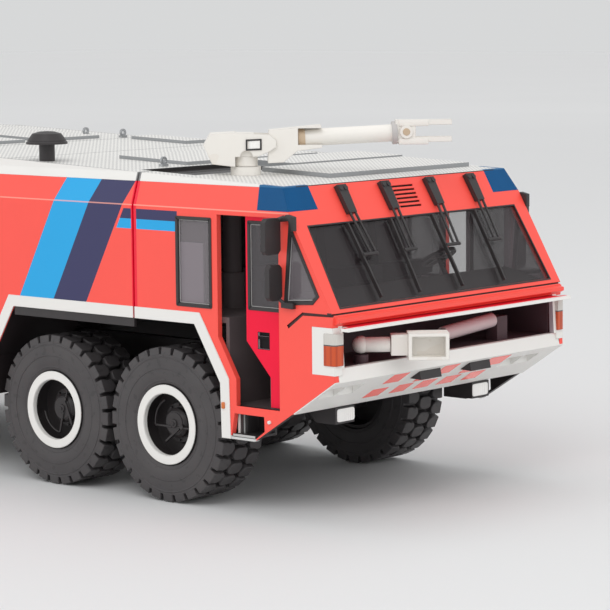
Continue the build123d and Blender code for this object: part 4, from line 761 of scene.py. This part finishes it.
def make_tyre():
    """Carcass, a shoulder row of lugs on each side and a staggered centre row."""
    lug = tread_block(SHOULDER_LUG)
    centre = tread_block(CENTRE_BLOCK)
    tyre = spin_section(tyre_section())
    whole = bmesh.new()
    whole.from_mesh(tyre.data)
    for block, first, flip in ((lug, 0.0, False), (lug, 0.0, True), (centre, 0.5, False)):
        add_ring_of(whole, block, first, flip)
    whole.to_mesh(tyre.data)
    whole.free()
    for block in (lug, centre):
        bpy.data.objects.remove(block)
    return tyre


def put_on_wheel(pattern, name, axle, side_name, roll, slot, smooth=30.0):
    """A copy of a wheel piece, with its own mesh, at one wheel, rolled on by an angle."""
    low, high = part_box(f"tyre_{axle}_{side_name}")
    middle = (low + high) / 2
    start()
    piece = pattern.copy()
    piece.data = pattern.data.copy()
    bpy.context.scene.collection.objects.link(piece)
    turn = Matrix.Rotation(0.0 if side_name == "left" else math.pi, 4, "Z")
    piece.data.transform(Matrix.Translation(middle) @ turn @ Matrix.Rotation(roll, 4, "Y"))
    piece.select_set(True)
    bpy.context.view_layer.objects.active = piece
    return finished(f"{name}_{axle}_{side_name}", f"wheel_{axle}_{side_name}",
                    COATS[slot], smooth)


def add_disc(radius, across, thick, at, corners):
    """A round plate facing outward, at a place in the wheel's plane."""
    where = (at[0] * MM, (across + thick / 2) * MM, at[1] * MM)
    return add_cylinder(radius, thick, where, (math.pi / 2, 0, 0), corners)


def add_bar(first, last, across, thick):
    """A square bar in the wheel's plane between two places."""
    run = Vector((last[0] - first[0], 0, last[1] - first[1]))
    middle = Vector(((last[0] + first[0]) / 2, across, (last[1] + first[1]) / 2)) * MM
    bpy.ops.mesh.primitive_cube_add(size=1, location=middle)
    bar = bpy.context.object
    bar.scale = (run.length * MM, thick * MM, thick * MM)
    bar.rotation_euler.y = -math.atan2(run.z, run.x)
    return bar


def make_hub_fittings():
    """Flange with studs, centre nut, air line and its bracket, with the axis along y."""
    arc = [(AIR_LINE_R + AIR_LINE_T * math.cos(n * math.tau / 8),
            HUB_FACE + 0.4 + AIR_LINE_T * math.sin(n * math.tau / 8)) for n in range(8)]
    parts = [spin_section(arc, 14, math.radians(AIR_LINE_ARC))]
    parts[0].rotation_euler.y = math.radians(AIR_LINE_TURN)
    start()
    discs = [HUB_FLANGE]
    for n in range(STUDS):
        turn = n * math.tau / STUDS + STUD_TURN
        at = (STUD_RING_R * math.cos(turn), STUD_RING_R * math.sin(turn))
        discs.append((0.45, 3.2, 0.8, at, 6))
    discs += HUB_DISCS
    parts += [add_disc(*disc) for disc in discs]
    parts += [add_bar(*bar) for bar in HUB_BARS]
    for part in parts:
        part.select_set(True)
    bpy.context.view_layer.objects.active = parts[0]
    bpy.ops.object.transform_apply(location=True, rotation=True, scale=True)
    bpy.ops.object.join()
    bpy.ops.object.mode_set(mode="EDIT")
    bpy.ops.mesh.select_all(action="SELECT")
    soften(0.1, 1)
    bpy.ops.object.mode_set(mode="OBJECT")
    return bpy.context.object


def make_wheels():
    tyre = make_tyre()
    ring = spin_section(RIM_RING)
    fittings = make_hub_fittings()
    for axle in range(1, 5):
        roll = math.radians(AXLE_TURN[axle])
        for side_name in ("right", "left"):
            made = put_on_wheel(tyre, "lugged_tyre", axle, side_name, roll, "tyre_rubber", 35.0)
            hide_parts(f"tyre_{axle}_{side_name}")
            put_on_wheel(ring, "white_rim_ring", axle, side_name, 0.0, "white_paint")
            put_on_wheel(fittings, "hub_fittings", axle, side_name, roll, "black_plastic")
    for pattern in (tyre, ring, fittings):
        bpy.data.objects.remove(pattern)


# Cab trim

REAR_WINDOW = (9.0, 24.5, 69.2, 98.7)       # x from and to, z from and to
DOOR_WINDOW = (39.7, 55.6, 69.7, 98.4)
QUARTER_WINDOW = [(59.6, 99.6), (57.1, 72.2), (69.6, 73.1), (72.3, 75.8)]
QUARTER_BEAD = [(60.2, 96.5), (58.4, 73.6), (69.1, 74.4), (71.2, 76.1)]
DOOR_FACE = HALF_W - 2.3
SKIN_REACH = ((-0.7, 0.25), (-0.65, -0.45))     # rubber and bead, in and out of the skin
DOOR_REACH = ((-0.4, 0.2), (-0.35, -0.15))
FRAME_W = 1.15
BEAD_W = 0.22

SHIELD_TOP = (HALF_W - 6.3, 97.9)           # half width and height of the windshield's edges
SHIELD_LOW = (HALF_W - 4.7, 71.7)
SEAL_W = 0.5
SEAL_T = 0.62
SEAL_SINK = 0.5

HAZARD_MARKS = (        # distance up the slanted bumper, from and to; then y of each mark
    (14.0, 20.4, ((-31.5, -23.2), (-4.3, 4.1), (21.5, 33.0))),
    (4.2, 10.1, ((-32.3, -24.0), (-18.4, -10.5), (-5.6, 2.4), (7.0, 15.8), (21.2, 29.5))),
    (11.2, 13.8, ((-12.6, -2.4), (12.4, 22.6))))
HAZARD_T = 0.08
HAZARD_LIFT = 0.01

LENS_OUT = HALF_W + 0.35        # outer face of the headlamp lenses
LENS_REAR_X = 74.3
LENS_FRONT_X = 79.25
LENS_CURVE = 1.5
LENS_LOW_Z = 53.7
LENS_HEIGHT = 10.5
LENS_END = [(LENS_FRONT_X, 58.8), (77.0, 58.8), (77.0, 60.5), (LENS_REAR_X, 60.5)]  # x and y

FOG_LENS_X = 60.5
FOG_LENS_Y = (HALF_W - 30.1, HALF_W - 21.3)
FOG_LENS_Z = (31.2, 35.6)
FOG_LENS_T = 1.0
MARKER = (29.2, 30.5, 35.6, 37.8)      # x from and to, z from and to
STEP_KNOB = (49.8, 51.0, 32.3, 33.5)
STEP_EDGE = (33.6, 43.5, 26.7, 27.5)
STEP_STRIPS = (         # name, x from and to, how far in from the side, slot, coat
    ("step_strip", 33.9, 34.8, 3.2, 2.4, "white_paint", PLAIN_WHITE),
    ("step_ribbed", 34.8, 36.6, 3.2, 2.7, "grey_trim", RIBBED_GREY),
    ("step_panel", 33.4, 37.2, 4.0, 3.2, "black_plastic", RUBBER))
STEP_STRIP_Z = (27.4, 35.8)
MIRROR_BRACKETS = (     # name, corners, how far out
    ("mirror_bracket_top", [(57.0, 100.3), (59.8, 101.9), (62.8, 101.2), (62.8, 96.6),
                            (61.4, 96.6), (60.6, 99.8), (57.0, 99.4)], 1.8),
    ("mirror_bracket_low", [(57.0, 73.6), (62.2, 73.2), (62.2, 71.2), (57.0, 71.4)], 1.6))


def grown(window, by, radius):
    """A window's round-cornered outline, larger by that much all round."""
    x0, x1, z0, z1 = window
    return rounded(x0 - by, x1 + by, z0 - by, z1 + by, radius)


def make_window_frames():
    """Black rubber frames with a thin light bead round the side windows."""
    windows = (
        ("rear_window", grown(REAR_WINDOW, 0.5, 0.6), grown(REAR_WINDOW, -0.7, 0.5),
         HALF_W, SKIN_REACH, BEAD_W),
        ("quarter_window", QUARTER_WINDOW, QUARTER_BEAD, HALF_W, SKIN_REACH, 0.3),
        ("door_window", grown(DOOR_WINDOW, 0.5, 0.6), grown(DOOR_WINDOW, -0.7, 0.5),
         DOOR_FACE, DOOR_REACH, BEAD_W))
    for side in SIDES:
        for name, rubber, bead, face, (rubber_y, bead_y), bead_w in windows:
            side_plate(f"{name}_rubber", rubber, side, face + rubber_y[0], face + rubber_y[1],
                       "black_plastic", RUBBER, rim=FRAME_W)
            side_plate(f"{name}_bead", bead, side, face + bead_y[0], face + bead_y[1],
                       "grey_trim", SILVER_EDGE, rim=bead_w)


def on_front(y, z, out):
    """A place on the slanted front face, raised by out."""
    return place(RIDGE_X + FRONT_SLOPE * (z - RIDGE_Z), y, z) + FRONT_OUT * out * MM


def make_shield_seal():
    """Thin dark seal round the windshield."""
    half_top, top = SHIELD_TOP
    half_low, low = SHIELD_LOW
    corners = [on_front(y, z, -SEAL_SINK) for y, z in
               ((-half_low, low), (half_low, low), (half_top, top), (-half_top, top))]
    plate("windshield_seal", corners, FRONT_OUT * SEAL_T * MM, "black_plastic", RUBBER,
          rim=SEAL_W)


def make_hazard_marks():
    """Red marks on the slanted face of the bumper."""
    x0, z0 = BUMPER_LOW
    x1, z1 = BUMPER_HIGH
    run = Vector((x1 - x0, 0, z1 - z0)).normalized()
    out = Vector((run.z, 0, -run.x))
    marks = [(v0, v1, y0, y1) for v0, v1, row in HAZARD_MARKS for y0, y1 in row]
    for n, (v0, v1, y0, y1) in enumerate(marks):
        corners = []
        for v, y in ((v0, y0), (v0, y1), (v1, y1), (v1, y0)):
            corners.append(place(x0 + run.x * v, y, z0 + run.z * v) + out * HAZARD_LIFT * MM)
        plate(f"hazard_mark_{n + 1}", corners, out * HAZARD_T * MM, "red_lens", HAZARD_RED)


def make_headlamp_lenses():
    """Ribbed lenses that wrap round the front corners of the lamp blocks."""
    outline = [(LENS_REAR_X, LENS_OUT)]
    for n in range(6):
        turn = math.pi / 2 * (1 - n / 5)
        outline.append((LENS_FRONT_X - LENS_CURVE + LENS_CURVE * math.cos(turn),
                        LENS_OUT - LENS_CURVE + LENS_CURVE * math.sin(turn)))
    outline += LENS_END
    for side in SIDES:
        corners = [place(x, side * y, LENS_LOW_Z) for x, y in outline]
        plate(f"headlamp_lens_{hand(side)}", corners, (0, 0, LENS_HEIGHT * MM), "amber_lens",
              COATS["amber_lens"], smooth=50.0)


def make_lamps_on_cab():
    """Fog lamp lenses, marker lamps on the arch trim, and knobs beside the steps."""
    for side in SIDES:
        across = sorted(side * y for y in FOG_LENS_Y)
        corners = [place(FOG_LENS_X, y, z) for y, z in rounded(*across, *FOG_LENS_Z, 0.9)]
        plate(f"fog_lens_{hand(side)}", corners, (FOG_LENS_T * MM, 0, 0), "white_paint", FOG_WHITE,
              edge=0.25)
        side_plate("amber_marker", rounded(*MARKER, 0.35), side,
                   HALF_W + 0.2, HALF_W + 0.75, "amber_lens", AMBER, edge=0.15)
        side_plate("step_knob", rounded(*STEP_KNOB, 0.59, 6), side,
                   HALF_W - 0.1, HALF_W + 0.7, "white_paint", PLAIN_WHITE, edge=0.15)


def make_step_ribs():
    """White strip and grey ribbed strip on the upright of the low step."""
    for side in SIDES:
        for name, x0, x1, deep, shallow, slot, coat in STEP_STRIPS:
            side_plate(name, box_outline(x0, x1, *STEP_STRIP_Z), side,
                       HALF_W - deep, HALF_W - shallow, slot, coat)
        side_plate("step_edge", box_outline(*STEP_EDGE), side,
                   HALF_W - 0.6, HALF_W - 0.2, "grey_trim", SILVER_EDGE)


def make_mirror_brackets():
    """Black brackets that hold the mirrors on the front corner of the cab."""
    for side in SIDES:
        for name, outline, out in MIRROR_BRACKETS:
            side_plate(name, outline, side, HALF_W - 0.1, HALF_W + out, "black_plastic",
                       RUBBER, edge=0.2)


# Roof monitor: places are along its barrel, to its left, and above the roof

MONITOR = (16.3, -(HALF_W - 26.9), math.radians(43.0))       # x, y and turn at rest
MONITOR_Z = ROOF_FRONT_Z + ROOF_RISE * (ROOF_FRONT_X - MONITOR[0])
CHEEK_FACE = 5.7                # from its middle to the outside of a cheek
LAMP_FRAME = ((0.0, 8.4), (5.4, 8.6), (5.4, 12.4), (0.0, 12.2))
LAMP_LENS = ((1.2, 9.0), (4.9, 9.15), (4.9, 11.85), (1.2, 11.7))
BARREL_RISE = math.atan2(1.5, 33.2)     # the barrel climbs slightly at rest
FORK_HALF = 2.5                 # half the fork's width
FORK_MIDDLE = 14.4
FORK_ROOT_ALONG = (52.2, 62.4)
FORK_ROOT_HALF = FORK_HALF + 0.35
FORK_ROOTS = (("upper", 16.0, 18.19), ("lower", 9.8, 12.0))
FORK_EYE = (54.8, FORK_MIDDLE - 0.3)
EYE_CORNERS = 20
FORK_ROUNDS = (         # name, radius, thickness, slot, coat
    ("fork_boss", 2.3, 0.75, "white_paint", MONITOR_COAT),
    ("fork_eye", 1.25, 0.9, "grey_trim", TAN_SHADE))
BARREL_ROUNDS = (       # name, along, above, radius, length, coat
    ("barrel_collar", 50.85, 13.72, 3.95, 1.9, COLLAR_GREY),
    ("barrel_root", 19.1, 12.3, 3.35, 2.4, TAN_SHADE))
POST_R = 4.1
POST_FOOT = 2.9
POST_HEIGHT = 5.6


def on_monitor(s, across, up):
    """A place beside the roof monitor: along its barrel, to its left, above the roof."""
    x, y, turn = MONITOR
    return place(x + s * math.cos(turn) - across * math.sin(turn),
                 y + s * math.sin(turn) + across * math.cos(turn), MONITOR_Z + up)


def make_monitor_lamp():
    """White square lamp in a black frame on the right cheek; its lens has a small glow of painted
    light.
    """
    turn = MONITOR[2]
    out = Vector((math.sin(turn), -math.cos(turn), 0))
    for name, corners, thick, slot, coat, rim in (
            ("monitor_lamp_frame", LAMP_FRAME, 0.5, "black_plastic", RUBBER, 0.55),
            ("monitor_lamp_lens", LAMP_LENS, 0.35, "white_paint", FOG_WHITE, 0.0)):
        points = [on_monitor(s, -CHEEK_FACE + 0.2, up) for s, up in corners]
        plate(name, points, out * thick * MM, slot, coat, body="roof_turret", rim=rim)


def make_fork_roots():
    """Thick roots of the fork's two tines."""
    first = FORK_ROOT_ALONG[0]
    for name, low, high in FORK_ROOTS:
        corners = [on_monitor(s, -FORK_ROOT_HALF, up)
                   for s, up in box_outline(*FORK_ROOT_ALONG, low, high)]
        push = on_monitor(first, FORK_ROOT_HALF, low) - on_monitor(first, -FORK_ROOT_HALF, low)
        plate(f"fork_root_{name}", corners, push, "white_paint", MONITOR_COAT,
              body="roof_barrel", edge=0.25)


def make_fork_bosses():
    """Round boss on each side of the fork, with its eye painted tan as shade."""
    along, above = FORK_EYE
    for side in SIDES:
        for name, radius, thick, slot, coat in FORK_ROUNDS:
            ring = []
            for n in range(EYE_CORNERS):
                turn = n * math.tau / EYE_CORNERS
                ring.append(on_monitor(along + radius * math.cos(turn), side * FORK_HALF,
                                       above + radius * math.sin(turn)))
            push = on_monitor(0, side * thick, 0) - on_monitor(0, 0, 0)
            plate(f"{name}_{hand(side)}", ring, push, slot, coat, body="roof_barrel")


def make_barrel_rounds():
    """Grey collar before the fork, and the root of the barrel painted tan as shade."""
    ahead = on_monitor(1, 0, math.tan(BARREL_RISE)) - on_monitor(0, 0, 0)
    turn = ahead.to_track_quat("Z", "Y").to_euler()
    for name, s, up, radius, length, coat in BARREL_ROUNDS:
        start()
        add_cylinder(radius, length, on_monitor(s, 0, up), turn)
        bpy.ops.object.mode_set(mode="EDIT")
        bpy.ops.mesh.select_all(action="SELECT")
        soften(0.3)
        finished(name, "roof_barrel", coat, 40.0)


def make_turret_post():
    """Round post between the foot and the cheeks."""
    start()
    add_cylinder(POST_R, POST_HEIGHT, on_monitor(0, 0, POST_FOOT + POST_HEIGHT / 2))
    finished("turret_post", "roof_turret", MONITOR_COAT, 40.0)


# Camera, stage and lamps

CAMERA_PLACE = (622.1, -697.4, 168.6)
CAMERA_YAW = 2.290
CAMERA_PITCH = -0.113
CAMERA_ROLL = -0.009
CAMERA_LENS = 155.06
FLOOR_SIZE = 14
FLOOR_Z = -0.0002
FLOOR_GREY = (0.74, 0.745, 0.75)
FLOOR_FAR = (0.90, 0.905, 0.91)
FLOOR_CLOUD = (0.62, 0.625, 0.63)
FADE_START = 0.8                # metres from the first axle where the floor turns paler
FADE_RATE = 0.4                 # and how much paler with each metre
WORLD_LIGHT = 0.76
BACKDROP = (0.68, 0.687, 0.69)
LAMP_AIM = (0.05, 0, 0.06)
LAMPS = (       # name, place in metres, size, watts
    ("key", (0.9, -1.4, 1.5), 1.0, 10),
    ("front", (1.7, 0.4, 0.9), 1.2, 4.5),
    ("top", (-0.3, 0.1, 1.9), 1.4, 5),
    ("side", (-0.9, -1.6, 0.7), 1.2, 4))


def make_camera():
    """Points the camera along yaw and pitch, with a slight roll."""
    cy, sy = math.cos(CAMERA_YAW), math.sin(CAMERA_YAW)
    cp, sp = math.cos(CAMERA_PITCH), math.sin(CAMERA_PITCH)
    ahead = Vector((cp * cy, cp * sy, sp))
    right = ahead.cross(Vector((0, 0, 1))).normalized()
    up = right.cross(ahead)
    cr, sr = math.cos(CAMERA_ROLL), math.sin(CAMERA_ROLL)
    right, up = right * cr + up * sr, up * cr - right * sr
    data = bpy.data.cameras.new("camera")
    data.lens = CAMERA_LENS
    data.sensor_width = 36
    data.clip_start = 0.05
    data.clip_end = 20
    camera = bpy.data.objects.new("camera", data)
    bpy.context.scene.collection.objects.link(camera)
    turn = Matrix((right, up, -ahead)).transposed().to_4x4()
    camera.matrix_world = Matrix.Translation(place(*CAMERA_PLACE)) @ turn
    bpy.context.scene.camera = camera


def make_floor():
    """Pale floor that grows paler with the distance."""
    bpy.ops.mesh.primitive_plane_add(size=FLOOR_SIZE, location=(0, 0, FLOOR_Z))
    floor = bpy.context.object
    floor.name = "floor"
    paint = Paint("pale_floor", FLOOR_GREY, 0.75)
    distance = (paint.x * paint.x + paint.y * paint.y).join("SQRT") * MM
    fade = ((distance - FADE_START) * FADE_RATE).join("MINIMUM", 1.0).join("MAXIMUM", 0.0)
    paint.layer(FLOOR_FAR, fade)
    paint.layer(FLOOR_CLOUD, (paint.noise(3.0) - 0.4) * 0.1)
    floor.data.materials.clear()
    floor.data.materials.append(paint.done())


def make_backdrop():
    """Even light from all round; seen directly or mirrored, a pale backdrop."""
    world = bpy.data.worlds.new("studio")
    bpy.context.scene.world = world
    world.use_nodes = True
    tree = world.node_tree
    light = tree.nodes["Background"]
    light.inputs["Color"].default_value = (1, 1, 1, 1)
    light.inputs["Strength"].default_value = WORLD_LIGHT
    seen = tree.nodes.new("ShaderNodeBackground")
    seen.inputs["Color"].default_value = (*BACKDROP, 1)
    path = tree.nodes.new("ShaderNodeLightPath")
    mix = tree.nodes.new("ShaderNodeMixShader")
    seen_by = Value(tree, path.outputs["Is Camera Ray"])
    for kind in ("Is Glossy Ray", "Is Transmission Ray"):
        seen_by = seen_by.either(Value(tree, path.outputs[kind]))
    tree.links.new(seen_by.socket, mix.inputs[0])
    tree.links.new(light.outputs[0], mix.inputs[1])
    tree.links.new(seen.outputs[0], mix.inputs[2])
    tree.links.new(mix.outputs[0], tree.nodes["World Output"].inputs["Surface"])


def make_lamps():
    """Soft area lamps, all aimed at the middle of the truck."""
    for name, where, size, watts in LAMPS:
        data = bpy.data.lights.new(name, "AREA")
        data.size = size
        data.energy = watts
        lamp = bpy.data.objects.new(name, data)
        bpy.context.scene.collection.objects.link(lamp)
        lamp.location = where
        aim = Vector(LAMP_AIM) - lamp.location
        lamp.rotation_euler = aim.to_track_quat("-Z", "Y").to_euler()


make_camera()
make_floor()
make_backdrop()
make_lamps()
for entry in frame["record"]["subparts"]:
    node = NODES[entry["node"]]
    node.data.materials.clear()
    node.data.materials.append(OWN_COATS.get(entry["node"], COATS[entry["material_slot"]]))
make_wheels()
make_window_frames()
make_shield_seal()
make_hazard_marks()
make_headlamp_lenses()
make_lamps_on_cab()
make_step_ribs()
make_mirror_brackets()
make_monitor_lamp()
make_fork_roots()
make_fork_bosses()
make_barrel_rounds()
make_turret_post()

bpy.context.scene.view_settings.view_transform = "Standard"
